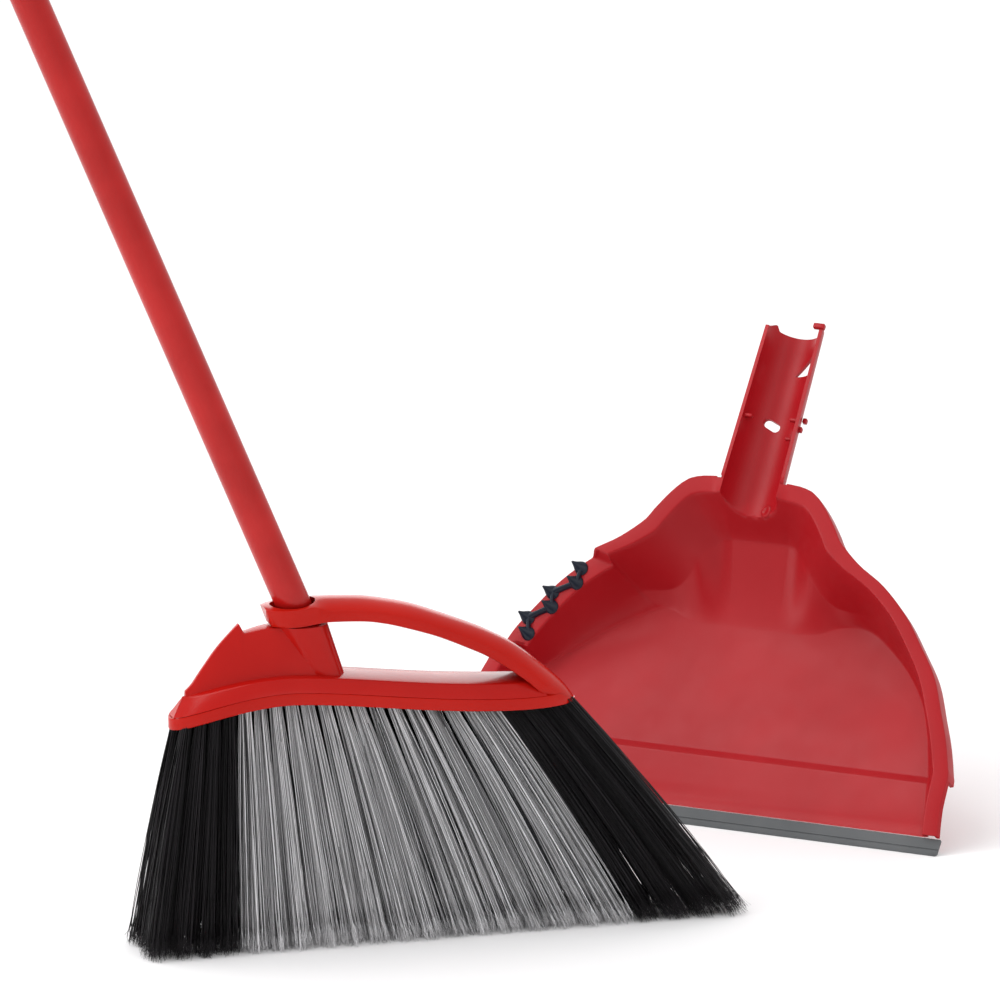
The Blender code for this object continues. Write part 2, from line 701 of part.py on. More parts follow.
def pan_sheet():
    """The pan's inner surface as one open sheet."""
    sides = [10.8, 28.0, 46.0, 52.0, 68.0, 83.0, 104.0, 122.0, 139.0, 154.5, 165.0, 177.0,
             184.0, 195.5, 204.0, 207.4]
    ledge = [LEDGE_FROM, LEDGE_FROM + LEDGE_RAMP, 122.0, 139.0, LEDGE_TO - LEDGE_RAMP, LEDGE_TO]
    right = [station_at(q) for q in sides] + [len(RIM_OUTLINE) - 1.0]
    left_sides = [q for q in sides if q < 100.0] + ledge + [q for q in sides if q > 160.0]
    left = [station_at(q) for q in left_sides] + [len(RIM_OUTLINE) - 1.0]
    points = []
    faces = []

    def add(column):
        start = len(points)
        points.extend(column)
        return list(range(start, start + len(column)))

    right_columns = [add(rim_column(t, 1.0)) for t in right]
    channel_columns = [add(channel_column(1.0 - k / 4.0)) for k in range(9)]
    left_columns = [add(rim_column(t, -1.0)) for t in left]
    for columns in (right_columns, list(reversed(left_columns))):
        for here, after in zip(columns, columns[1:]):
            for j in range(len(here) - 1):
                faces.append((here[j], here[j + 1], after[j + 1], after[j]))
    for here, after in zip(channel_columns, channel_columns[1:]):
        for j in range(len(here) - 1):
            faces.append((here[j], here[j + 1], after[j + 1], after[j]))
    # The rim's columns start one point lower than the channel's wall points.
    for rim_col, channel_col, flip in ((right_columns[-1], channel_columns[0], False),
                                       (left_columns[-1], channel_columns[-1], True)):
        for j in range(1, len(rim_col) - 1):
            k = j + len(channel_col) - len(rim_col)
            face = (rim_col[j], rim_col[j + 1], channel_col[k + 1], channel_col[k])
            faces.append(tuple(reversed(face)) if flip else face)
    for i in range(3):
        front = (right_columns[i][-1], left_columns[i][-1])
        back = (left_columns[i + 1][-1], right_columns[i + 1][-1])
        faces.append(front + back)
    border = [c[-1] for c in right_columns[3:]] + [c[-1] for c in channel_columns]
    border += [c[-1] for c in reversed(left_columns[3:])]
    faces.append(tuple(reversed(border)))
    return points, [tuple(reversed(face)) for face in faces]


def make_pan_body(pan_frame):
    """The pan: its inner sheet thickened outwards, with the slots in its handle."""
    body = piece("pan_body", *pan_sheet(), pan_frame, "pan", PAN_RED, closed=False)
    shell = body.modifiers.new("wall", "SOLIDIFY")
    shell.thickness = PAN_WALL * MM
    shell.offset = -1.0
    shell.use_even_offset = True
    shell.use_quality_normals = True
    slot = [(2.5 + 3.0 * cos(pi * k / 6), 3.0 * sin(pi * k / 6)) for k in range(-3, 4)]
    slot += [(-2.5 - 3.0 * cos(pi * k / 6), -3.0 * sin(pi * k / 6)) for k in range(-3, 4)]
    for name, outline, spot, turn in (
        ("slot_cutter", slot, (-4.5, 254.0), -0.35),
        ("corner_cutter", [(-6.0, -6.0), (6.5, -6.0), (8.0, 7.5), (5.0, 8.0)], (7.5, 294.0), 0.0),
    ):
        ring = []
        for x, y in outline:
            ring.append((x * cos(turn) - y * sin(turn) + spot[0], x * sin(turn) + y * cos(turn) + spot[1]))
        cutter = piece(name, *loft([[(*p, 40.0) for p in ring], [(*p, 90.0) for p in ring]]), pan_frame)
        boolean(body, cutter, "DIFFERENCE")
    return body


def make_pan_lip(pan_frame):
    """The soft strip along the pan's front edge."""
    rings = []
    for w in (-LIP_HALF_WIDTH, -LIP_HALF_WIDTH + 1.5, LIP_HALF_WIDTH - 1.5, LIP_HALF_WIDTH):
        front = 1.5 if abs(w) == LIP_HALF_WIDTH else 0.0
        rings.append([(w, front, 0.0), (w, front, LIP_EDGE), (w, LIP_LENGTH, LIP_ROOT), (w, LIP_LENGTH, 0.4)])
    return piece("pan_lip", *loft(rings), pan_frame, "lip", LIP_GREY)


def make_pan_comb(pan_frame):
    """The soft insert on the ledge: cone teeth that lean outwards, on a zigzag runner."""
    low_end = LEDGE_FROM + LEDGE_RAMP + TOOTH_RADIUS
    high_end = LEDGE_TO - LEDGE_RAMP - TOOTH_RADIUS
    spots = []
    out_ways = []
    for i in range(TOOTH_COUNT):
        t = station_at(low_end + (high_end - low_end) * i / (TOOTH_COUNT - 1))
        rim = Vector((*curve_at(RIM_OUTLINE, t), 0.0))
        foot = Vector((*curve_at(FLOOR_OUTLINE, t), 0.0))
        row = TOOTH_ROW if i % 2 == 0 else -TOOTH_ROW
        spot = rim + (foot - rim).normalized() * (LEDGE_WIDTH / 2.0 - 0.2 + row)
        outward = (rim - foot).normalized()
        out_ways.append(Vector((-outward.x, outward.y, 0.0)) * TOOTH_REACH)
        spots.append(Vector((-spot.x, spot.y, rim_height(spot.y) - LEDGE_DROP + GAP)))
    slope = tan(radians(RIM_SLOPE))
    comb = None
    for i, spot in enumerate(spots):
        rings = []
        for radius, height in ((1.0, 0.0), (0.94, 0.2), (0.5, 0.62), (0.16, 0.97), (0.05, 1.0)):
            ring = []
            for k in range(12):
                angle = 2.0 * pi * k / 12
                x = TOOTH_RADIUS * radius * cos(angle)
                y = TOOTH_RADIUS * radius * sin(angle)
                z = TOOTH_HEIGHT * height + y * slope * (1 - height)
                lean = out_ways[i] * height
                ring.append((spot.x + x + lean.x, spot.y + y + lean.y, spot.z + z))
            rings.append(ring)
        if comb is None:
            comb = piece("pan_comb", *loft(rings), pan_frame, "comb", COMB_NAVY)
        else:
            boolean(comb, piece(f"tooth_{i}", *loft(rings), pan_frame), "UNION")
    for i, (a, b) in enumerate(zip(spots, spots[1:])):
        forward = (b - a).normalized()
        side = Vector((-forward.y, forward.x, 0.0)).normalized() * RUNNER_HALF
        up = Vector((0, 0, RUNNER_HEIGHT))
        low = Vector((0, 0, 0.15))
        rings = []
        for end in (a, b):
            corners = (end - side + low, end + side + low, end + side + up, end - side + up)
            rings.append([(p.x, p.y, p.z + (p.y - end.y) * slope) for p in corners])
        boolean(comb, piece(f"runner_{i}", *loft(rings), pan_frame), "UNION")
    return comb


def settle_on_origin(assembly):
    """Move the whole object so that the middle of its box's foot is the origin."""
    bpy.context.view_layer.update()
    graph = bpy.context.evaluated_depsgraph_get()
    low, high = Vector((9e9,) * 3), Vector((-9e9,) * 3)
    for made in bpy.data.objects:
        if made.type != "MESH" or made.hide_render:
            continue
        shown = made.evaluated_get(graph)
        for vertex in shown.data.vertices:
            spot = made.matrix_world @ vertex.co
            low = Vector(map(min, low, spot))
            high = Vector(map(max, high, spot))
    middle = (low + high) / 2.0
    assembly.location = (-middle.x, -middle.y, -low.z)


def build():
    """Make the broom and the dustpan and set them on the origin."""
    clear_scene()
    assembly = empty("assembly", Matrix.Identity(4))
    lean = Matrix.Rotation(-radians(POLE_LEAN), 4, "Y")
    pole_frame = empty("pole_frame", Matrix.Translation(Vector((AXIS_X, 0.0, AXIS_Z)) * MM) @ lean, assembly)
    stand = Matrix.Rotation(radians(PAN_YAW), 4, "Z") @ Matrix.Rotation(radians(90.0 - PAN_LEAN), 4, "X")
    pan_frame = empty("pan_frame", Matrix.Translation(Vector((PAN_X, PAN_Y, 0.0)) * MM) @ stand, assembly)
    make_bristle_block(assembly)
    make_tufts(assembly)
    make_head_frame(assembly, pole_frame)
    make_bow_rear_strip(assembly)
    make_head_cover(assembly, pole_frame)
    make_pole(pole_frame)
    make_pole_tip(pole_frame)
    make_pole_cap(pole_frame)
    make_pan_body(pan_frame)
    make_pan_lip(pan_frame)
    make_pan_comb(pan_frame)
    settle_on_origin(assembly)


build()
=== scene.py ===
"""Looks of the angle broom and its dustpan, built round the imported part."""
from math import cos, pi, radians, sin, sqrt, tan

import bmesh
import bpy
import numpy as np
from mathutils import Matrix, Vector


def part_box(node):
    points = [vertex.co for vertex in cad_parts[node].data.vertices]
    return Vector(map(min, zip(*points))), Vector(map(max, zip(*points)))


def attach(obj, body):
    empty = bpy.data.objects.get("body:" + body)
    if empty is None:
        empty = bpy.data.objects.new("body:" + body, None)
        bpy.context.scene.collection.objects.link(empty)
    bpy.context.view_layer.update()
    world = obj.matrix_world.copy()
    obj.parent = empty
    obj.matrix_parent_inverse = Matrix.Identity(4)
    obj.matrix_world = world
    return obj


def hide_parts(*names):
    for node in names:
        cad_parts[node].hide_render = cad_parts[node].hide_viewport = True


MM = 0.001
SEED = 41

# Broom head, in millimetres and degrees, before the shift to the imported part's place.
HEAD_CENTRE_X = -32.5
HEAD_HALF_LENGTH = 124.8
HEAD_HALF_DEPTH = 22.0
HEAD_SQUARENESS = 3.0
ARCH_TOP_X = -90.0
ARCH_TOP_Z = 149.6
ARCH_LEFT_DROP = 14.6
ARCH_LEFT_RUN = 67.0
ARCH_RIGHT_DROP = 14.0
ARCH_RIGHT_RUN = 165.0
BAND_HEIGHT = 7.3
BAND_WALL = 2.8
BAND_RIGHT_END = 91.4
COVER_RISE = 15.3
COVER_LEFT = (-155.8, -149.0)
COVER_RIGHT = (70.5, 64.0)
COVER_INSET = 6.0
SEAM = 0.3
SHUT_LINE = 0.12
BOW_UNDERSIDE = (
    (-95.5, 194.7), (-93.0, 194.6), (-86.0, 194.6), (-78.0, 195.0), (-70.0, 196.0),
    (-62.0, 196.6), (-42.0, 195.6), (-29.0, 193.4), (-16.0, 189.8), (4.0, 183.0),
    (24.0, 174.0), (34.0, 169.0), (44.0, 162.6), (52.0, 157.0), (59.0, 151.5),
    (65.0, 146.0), (70.0, 141.0), (74.0, 136.5),
)
BOW_CROWN = (
    (-99.7, 206.0), (-97.0, 206.2), (-88.0, 206.6), (-78.0, 207.2), (-70.0, 208.4),
    (-61.0, 209.0), (-40.0, 207.6), (-25.0, 205.0), (-9.0, 201.0), (9.0, 194.3),
    (28.0, 186.4), (38.4, 181.5), (51.0, 174.6), (60.0, 168.3), (69.0, 161.0),
    (77.6, 153.6), (86.0, 145.2), (91.6, 137.3),
)
AXIS_X = -77.0
AXIS_Z = 196.5
POLE_LEAN = 22.77
POLE_RADIUS = 10.5
POLE_WALL = 0.5
POLE_START = -6.0
POLE_LENGTH = 1220.0
SOCKET_LEVELS = (160.3, 164.0, 170.0, 180.0, 190.0, 194.2)
SOCKET_RADIUS = 15.0
SOCKET_TAPER = 0.085
BORE_RADIUS = 10.2
MOUTH_RADIUS = 11.4
COLLAR_RADIUS = 13.0
CAP_RADIUS = 12.2
CAP_GRIP_RADIUS = 11.75
HANG_HOLE_UP = 19.7
FIN_EDGE = (
    (-147.4, 157.6), (-143.4, 161.5), (-137.7, 169.6), (-128.5, 182.0),
    (-120.1, 191.0), (-114.5, 196.4),
)

# Bristles.
FRONT_TUFTS = 23
REAR_TUFTS = 23
END_BLACK_TUFTS = 4
ROOT_LEFT = -148.5
ROOT_RIGHT = 82.5
TIP_LEFT = -171.0
TIP_RIGHT = 186.0
ROOT_CROWDING = 0.055
TIP_CROWDING = 0.03
ROOT_ROW = 9.2
ROOT_EDGE_GAP = 4.6
TIP_ROW = 15.0
TIP_HALF_WIDTH = 7.7
FRONT_FILAMENTS = 130
REAR_FILAMENTS = 150
FILAMENT_END = 0.94
SPLIT_HAIRS = 3
REAR_SEED = 100

# Dustpan.
PAN_X = 217.3
PAN_Y = 175.2
PAN_YAW = -41.8
PAN_LEAN = 43.25
RIM_SLOPE = 17.5
RIM_BASE = 3.0
RIM_WIDTH = 10.5
PAN_WALL = 2.3
LIP_LENGTH = 10.5
LIP_HALF_WIDTH = 167.5
RAMP_TOP = 46.0
RAMP_FOOT = 52.0
RAMP_START_Z = 3.0
RAMP_TOP_Z = 5.0
SKIRT_DEPTH = 11.0
RIM_OUTLINE = (
    (166.4, 10.8), (165.0, 28.0), (165.9, 46.0), (164.8, 52.0), (160.0, 68.0),
    (154.0, 83.0), (145.0, 104.0), (132.0, 122.0), (118.0, 139.0), (100.0, 154.5),
    (82.0, 165.0), (67.0, 177.0), (62.0, 184.0), (53.0, 195.5), (44.0, 204.0),
    (35.0, 207.4), (24.0, 208.5),
)
FLOOR_OUTLINE = (
    (157.0, 10.8), (152.0, 28.0), (147.5, 46.0), (146.0, 52.0), (141.5, 67.0),
    (136.0, 83.0), (127.0, 102.0), (112.0, 121.0), (94.0, 136.5), (76.0, 148.5),
    (59.0, 157.0), (47.0, 163.0), (41.0, 166.0), (35.0, 168.8), (30.0, 170.4),
    (25.0, 171.5), (19.0, 172.2),
)
WALL_CONTROL = 0.45
# The back of the pan, one entry for each station from BACK_START on: the crease of the
# wall, and the foot of its ramp.
BACK_START = 8
BACK_CREASE = (
    (94.0, 137.0, 2.4), (76.0, 147.5, 4.0), (58.0, 153.5, 9.0), (46.0, 160.0, 18.0),
    (39.0, 167.0, 26.0), (33.0, 174.0, 28.0), (28.0, 181.0, 28.5), (24.0, 184.5, 28.5),
    (19.0, 186.0, 28.5),
)
BACK_FOOT = (
    (92.5, 135.0), (73.0, 141.5), (54.0, 142.0), (42.5, 139.5), (34.5, 138.5),
    (28.0, 138.0), (23.5, 138.0), (20.0, 138.0), (16.5, 138.0),
)
HANDLE_START = 208.5
HANDLE_END = 317.0
HANDLE_SLOPE = 6.5
HANDLE_RADIUS = 19.0
HANDLE_TOP_RADIUS = 17.0
LEDGE_DROP = 8.0
LEDGE_WIDTH = 15.5
LEDGE_FROM = 95.0
LEDGE_TO = 157.0
LEDGE_RAMP = 3.0
LEFT_FOOT_INSET = 12.0
TOOTH_END_GAP = 9.9
TOOTH_COUNT = 6
TOOTH_RADIUS = 4.1
TOOTH_HEIGHT = 7.0
TOOTH_REACH = 4.8
TOOTH_ROW = 3.9

# Stage, in metres and watts. A light is a name, a place, a target, a size and a power.
FLOOR_HALF = 60.0
WORLD_STRENGTH = 0.90
LIGHTS = (
    ("behind", (0.3, 6.0, 1.9), (0.2, 0.0, 0.4), (8.0, 3.2), 120.0),
    ("overhead", (-0.65, 0.2, 1.9), (0.1, 0.0, 0.1), (1.2, 1.2), 14.0),
    ("left strip", (-2.5, -0.1, 1.0), (0.0, -0.1, 0.7), (0.5, 2.4), 22.0),
    ("front", (0.6, -3.0, 2.4), (0.1, 0.0, 0.2), (1.4, 1.0), 10.0),
)
CAMERA_LENS = 396.6
CAMERA_SPOT = (-1.709463, -6.082402, 1.838693)
CAMERA_WAY = (0.26908, 0.93224, -0.24192)


# ---------------------------------------------------------------- frame

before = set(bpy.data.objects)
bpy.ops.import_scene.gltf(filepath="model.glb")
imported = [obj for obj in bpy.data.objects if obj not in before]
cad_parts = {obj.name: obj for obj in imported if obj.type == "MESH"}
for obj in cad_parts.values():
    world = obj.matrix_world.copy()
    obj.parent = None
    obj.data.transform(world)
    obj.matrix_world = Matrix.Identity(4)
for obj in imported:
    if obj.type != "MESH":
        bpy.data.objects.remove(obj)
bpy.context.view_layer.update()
first_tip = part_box("tuft_front_01")[0].x - (TIP_LEFT - TIP_HALF_WIDTH * cos(pi / 8)) * MM
head_low, head_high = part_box("head_frame")
SHIFT = Matrix.Translation((first_tip, (head_low.y + head_high.y) / 2.0, 0.0))
POLE = (SHIFT @ Matrix.Translation(Vector((AXIS_X, 0.0, AXIS_Z)) * MM)
        @ Matrix.Rotation(-radians(POLE_LEAN), 4, "Y"))
PAN = (SHIFT @ Matrix.Translation(Vector((PAN_X, PAN_Y, 0.0)) * MM)
       @ Matrix.Rotation(radians(PAN_YAW), 4, "Z")
       @ Matrix.Rotation(radians(90.0 - PAN_LEAN), 4, "X"))


# ---------------------------------------------------------------- materials

def shader_base(name):
    """A new material with its nodes, links and Principled shader."""
    made = bpy.data.materials.new(name)
    made.use_nodes = True
    return made, made.node_tree.nodes, made.node_tree.links, made.node_tree.nodes["Principled BSDF"]


def noise(nodes, links, where, scale, detail=3.0, rough=0.5, stretch=None):
    made = nodes.new("ShaderNodeTexNoise")
    made.inputs["Scale"].default_value = scale
    made.inputs["Detail"].default_value = detail
    made.inputs["Roughness"].default_value = rough
    if stretch:
        mapping = nodes.new("ShaderNodeMapping")
        mapping.inputs["Scale"].default_value = stretch
        links.new(where, mapping.inputs["Vector"])
        where = mapping.outputs["Vector"]
    links.new(where, made.inputs["Vector"])
    return made.outputs["Fac"]


def ranged(nodes, links, value, low, high, out_low, out_high):
    made = nodes.new("ShaderNodeMapRange")
    for key, number in (("From Min", low), ("From Max", high),
                        ("To Min", out_low), ("To Max", out_high)):
        made.inputs[key].default_value = number
    links.new(value, made.inputs["Value"])
    return made.outputs["Result"]


def mixed(nodes, links, share, one, other):
    made = nodes.new("ShaderNodeMix")
    made.data_type = "RGBA"
    made.inputs["A"].default_value = (*one, 1.0)
    made.inputs["B"].default_value = (*other, 1.0)
    links.new(share, made.inputs["Factor"])
    return made.outputs["Result"]


def bumped(nodes, links, layers, shader):
    """Stack bumps: each layer is a height, a distance in metres and a strength."""
    last = None
    for height, distance, strength in layers:
        made = nodes.new("ShaderNodeBump")
        made.inputs["Strength"].default_value = strength
        made.inputs["Distance"].default_value = distance
        links.new(height, made.inputs["Height"])
        if last:
            links.new(last, made.inputs["Normal"])
        last = made.outputs["Normal"]
    links.new(last, shader.inputs["Normal"])


def moulded(name, dark, light, roughness, grain, grain_depth, wave_depth=0.00012, specular=0.5):
    """Injection-moulded plastic or rubber: cloudy colour, uneven gloss, fine grain."""
    made, nodes, links, shader = shader_base(name)
    where = nodes.new("ShaderNodeTexCoord").outputs["Object"]
    cloud = noise(nodes, links, where, 14.0, 4.0)
    links.new(mixed(nodes, links, ranged(nodes, links, cloud, 0.35, 0.65, 0.0, 1.0), dark, light),
              shader.inputs["Base Color"])
    smear = noise(nodes, links, where, 60.0, 5.0, 0.6)
    links.new(ranged(nodes, links, smear, 0.3, 0.7, *roughness), shader.inputs["Roughness"])
    wave = noise(nodes, links, where, 38.0, 1.0)
    fine = noise(nodes, links, where, grain, 2.0)
    bumped(nodes, links, ((wave, wave_depth, 0.5), (fine, grain_depth, 0.6)), shader)
    shader.inputs["Specular IOR Level"].default_value = specular
    return made


def painted(name, dark, light):
    """Painted steel tube: deep glossy paint with slight orange peel."""
    made, nodes, links, shader = shader_base(name)
    where = nodes.new("ShaderNodeTexCoord").outputs["Object"]
    cloud = noise(nodes, links, where, 26.0, 4.0)
    links.new(mixed(nodes, links, ranged(nodes, links, cloud, 0.35, 0.65, 0.0, 1.0), dark, light),
              shader.inputs["Base Color"])
    smear = noise(nodes, links, where, 110.0, 4.0, 0.6)
    links.new(ranged(nodes, links, smear, 0.3, 0.7, 0.20, 0.27), shader.inputs["Roughness"])
    peel = noise(nodes, links, where, 420.0, 1.0)
    bumped(nodes, links, ((peel, 0.00006, 0.35),), shader)
    shader.inputs["Metallic"].default_value = 0.12
    shader.inputs["Specular IOR Level"].default_value = 0.35
    return made


def filament(name, dark, light, roughness):
    """Drawn plastic filament: each one has its own tone, lighter towards the tip."""
    made, nodes, links, shader = shader_base(name)
    tone = nodes.new("ShaderNodeAttribute")
    tone.attribute_name = "tone"
    where = nodes.new("ShaderNodeTexCoord").outputs["Object"]
    streak = noise(nodes, links, where, 300.0, 3.0, 0.6, (1.0, 1.0, 0.05))
    links.new(mixed(nodes, links, tone.outputs["Fac"], dark, light), shader.inputs["Base Color"])
    links.new(ranged(nodes, links, streak, 0.3, 0.7, *roughness), shader.inputs["Roughness"])
    bumped(nodes, links, ((streak, 0.00005, 0.4),), shader)
    shader.inputs["Specular IOR Level"].default_value = 0.22
    return made


HEAD_RED = moulded("head red", (0.42, 0.006, 0.002), (0.47, 0.009, 0.004), (0.16, 0.22),
                   1500.0, 0.00001, 0.00007, 0.16)
COVER_RED = moulded("cover red", (0.40, 0.006, 0.004), (0.45, 0.009, 0.006), (0.18, 0.25),
                    1500.0, 0.00001, 0.00007, 0.16)
PAN_RED = moulded("pan red", (0.34, 0.004, 0.008), (0.39, 0.007, 0.012), (0.34, 0.44),
                  2200.0, 0.00003, 0.0001, 0.26)
LIP_GREY = moulded("lip rubber", (0.068, 0.074, 0.078), (0.098, 0.103, 0.107), (0.5, 0.65),
                   1800.0, 0.00004)
COMB_NAVY = moulded("comb rubber", (0.004, 0.007, 0.016), (0.008, 0.013, 0.026), (0.28, 0.40),
                    1500.0, 0.00003, specular=0.3)
BLACK = moulded("black plastic", (0.010, 0.010, 0.011), (0.02, 0.02, 0.021), (0.38, 0.5),
                1400.0, 0.00003)
POLE_RED = painted("pole paint", (0.38, 0.005, 0.004), (0.45, 0.009, 0.008))
TUFT_BLACK = filament("black filament", (0.001, 0.001, 0.0012), (0.022, 0.019, 0.022),
                      (0.34, 0.5))
TUFT_GREY = filament("grey filament", (0.05, 0.048, 0.052), (0.98, 0.97, 0.99), (0.34, 0.5))


# ---------------------------------------------------------------- mesh helpers

def outwards(mesh):
    """Turn a closed mesh's faces outwards."""
    work = bmesh.new()
    work.from_mesh(mesh)
    bmesh.ops.recalc_face_normals(work, faces=work.faces)
    if work.calc_volume(signed=True) < 0.0:
        bmesh.ops.reverse_faces(work, faces=work.faces)
    work.to_mesh(mesh)
    work.free()


def shaded(mesh, sharp):
    """Smooth shading with sharp edges above an angle in degrees."""
    mesh.shade_smooth()
    mesh.set_sharp_from_angle(angle=radians(sharp))


def placed(name, mesh):
    made = bpy.data.objects.new(name, mesh)
    bpy.context.scene.collection.objects.link(made)
    return made


def absorb(work, part):
    """Copy an object's mesh into a bmesh and drop the object."""
    work.from_mesh(part.data)
    bpy.data.objects.remove(part, do_unlink=True)


def solid(name, points, faces, matrix, closed=True, sharp=38.0):
    """A mesh object with its points put into the row frame."""
    mesh = bpy.data.meshes.new(name)
    mesh.from_pydata([matrix @ (Vector(p) * MM) for p in points], [], faces)
    mesh.update()
    if closed:
        outwards(mesh)
    shaded(mesh, sharp)
    return placed(name, mesh)


def finished(obj, body, slot, finish, *nodes):
    """Give a piece its material and body, and hide the nodes it stands for. The slot argument is
    not used.
    """
    obj.data.materials.clear()
    obj.data.materials.append(finish)
    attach(obj, body)
    if nodes:
        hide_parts(*nodes)
    return obj


def cut(target, *tools, operation="DIFFERENCE", sharp=38.0, self_cut=False):
    """Apply exact Booleans and drop the tools."""
    for tool in tools:
        step = target.modifiers.new(tool.name, "BOOLEAN")
        step.solver = "EXACT"
        step.operation = operation
        step.use_self = self_cut
        step.object = tool
    settle(target, sharp)
    for tool in tools:
        bpy.data.objects.remove(tool, do_unlink=True)
    return target


def settle(target, sharp=38.0):
    """Turn an object's modifiers into its mesh."""
    bpy.context.view_layer.update()
    graph = bpy.context.evaluated_depsgraph_get()
    mesh = bpy.data.meshes.new_from_object(target.evaluated_get(graph))
    target.modifiers.clear()
    target.data = mesh
    shaded(mesh, sharp)
    return target


def softened(target, width, segments=3, angle=30.0):
    """Round the crisp edges of a finished solid."""
    bevel = target.modifiers.new("bevel", "BEVEL")
    bevel.width = width * MM
    bevel.segments = segments
    bevel.limit_method = "ANGLE"
    bevel.angle_limit = radians(angle)
    bevel.harden_normals = False
    return settle(target, 60.0)


def loft(rings, closed=False):
    """Points and faces of a skin over rings; closed joins the last ring to the first."""
    count = len(rings[0])
    points = [p for ring in rings for p in ring]
    faces = []
    for i in range(len(rings) if closed else len(rings) - 1):
        here = i * count
        after = (i + 1) % len(rings) * count
        for j in range(count):
            k = (j + 1) % count
            faces.append((here + j, here + k, after + k, after + j))
    if not closed:
        faces.append(tuple(reversed(range(count))))
        faces.append(tuple(range(len(points) - count, len(points))))
    return points, faces


def circle(radius, height, sides):
    return [(radius * cos(2 * pi * k / sides), radius * sin(2 * pi * k / sides), height)
            for k in range(sides)]


def turned(profile, sides):
    """A solid of revolution from (height, radius) pairs."""
    return loft([circle(radius, height, sides) for height, radius in profile])


def rounded(ring, radii, steps=3):
    """A closed polygon with its corners rounded."""
    out = []
    count = len(ring)
    for i, spot in enumerate(ring):
        here = Vector(spot)
        if radii[i] <= 0.0:
            out.append(tuple(here))
            continue
        before = Vector(ring[i - 1]) - here
        after = Vector(ring[(i + 1) % count]) - here
        one = here + before.normalized() * min(radii[i], before.length * 0.45)
        other = here + after.normalized() * min(radii[i], after.length * 0.45)
        for s in range(steps + 1):
            u = s / steps
            out.append(tuple(one * (1 - u) ** 2 + here * 2 * u * (1 - u) + other * u * u))
    return out


def smooth_step(value):
    t = min(1.0, max(0.0, value))
    return t * t * (3.0 - 2.0 * t)


def curve_at(points, t):
    """A point on the Catmull-Rom curve through the points, at station t."""
    i = min(len(points) - 2, max(0, int(t)))
    u = t - i
    before = points[max(0, i - 1)]
    a, b = points[i], points[i + 1]
    after = points[min(len(points) - 1, i + 2)]
    out = []
    for p0, p1, p2, p3 in zip(before, a, b, after):
        out.append(0.5 * (2 * p1 + (p2 - p0) * u + (2 * p0 - 5 * p1 + 4 * p2 - p3) * u * u
                          + (3 * p1 - p0 - 3 * p2 + p3) * u ** 3))
    return out


# ---------------------------------------------------------------- broom head

def band_foot(x):
    """Height of the head's arched lower edge."""
    if x < ARCH_TOP_X:
        return ARCH_TOP_Z - ARCH_LEFT_DROP * ((ARCH_TOP_X - x) / ARCH_LEFT_RUN) ** 1.8
    t = min(1.0, (x - ARCH_TOP_X) / ARCH_RIGHT_RUN) ** 0.8
    return ARCH_TOP_Z - ARCH_RIGHT_DROP * (1.0 - cos(pi * t)) / 2.0


def half_depth(x, inset=0.0):
    t = min(1.0, abs(x - HEAD_CENTRE_X) / (HEAD_HALF_LENGTH - inset))
    return (HEAD_HALF_DEPTH - inset) * sqrt(max(0.0, 1.0 - t ** (2.0 * HEAD_SQUARENESS)))


def oval_point(angle, inset):
    reach = abs(cos(angle)) ** (1.0 / HEAD_SQUARENESS)
    side = 1.0 if cos(angle) > 0 else -1.0
    x = HEAD_CENTRE_X + side * reach * (HEAD_HALF_LENGTH - inset)
    return x, -(HEAD_HALF_DEPTH - inset) * sin(angle)


def even_angles(count):
    """Angles that space points evenly round the oval."""
    fine = [2.0 * pi * k / 7200 for k in range(7201)]
    spots = [Vector(oval_point(a, 0.0)) for a in fine]
    run = [0.0]
    for a, b in zip(spots, spots[1:]):
        run.append(run[-1] + (b - a).length)
    out, j = [], 0
    for k in range(count):
        want = run[-1] * k / count
        while run[j + 1] < want:
            j += 1
        out.append(fine[j])
    return out


def make_band():
    profile = ((0.9, 0.0), (0.3, 0.25), (0.0, 0.9), (0.0, 6.8), (0.08, 7.15),
               (0.3, BAND_HEIGHT), (BAND_WALL, BAND_HEIGHT), (BAND_WALL, 0.0))
    rings = []
    for angle in even_angles(260):
        outer_x, _ = oval_point(angle, 0.0)
        foot = band_foot(outer_x)
        share = 1.0 - 0.72 * smooth_step((outer_x - 78.0) / 13.0)
        ring = []
        for inset, up in profile:
            x, y = oval_point(angle, inset)
            ring.append((min(x, BAND_RIGHT_END), y, foot + up * share))
        rings.append(ring)
    return solid("band", *loft(rings, closed=True), SHIFT)


def bow_half(x):
    half = 15.0 + 3.0 * smooth_step((x - 40.0) / 35.0)
    if x < -80.0:
        half *= sqrt(max(0.03, 1.0 - ((-80.0 - x) / 20.0) ** 2))
    if x > 60.0:
        half = min(half, half_depth(x) + 0.05)
    return half


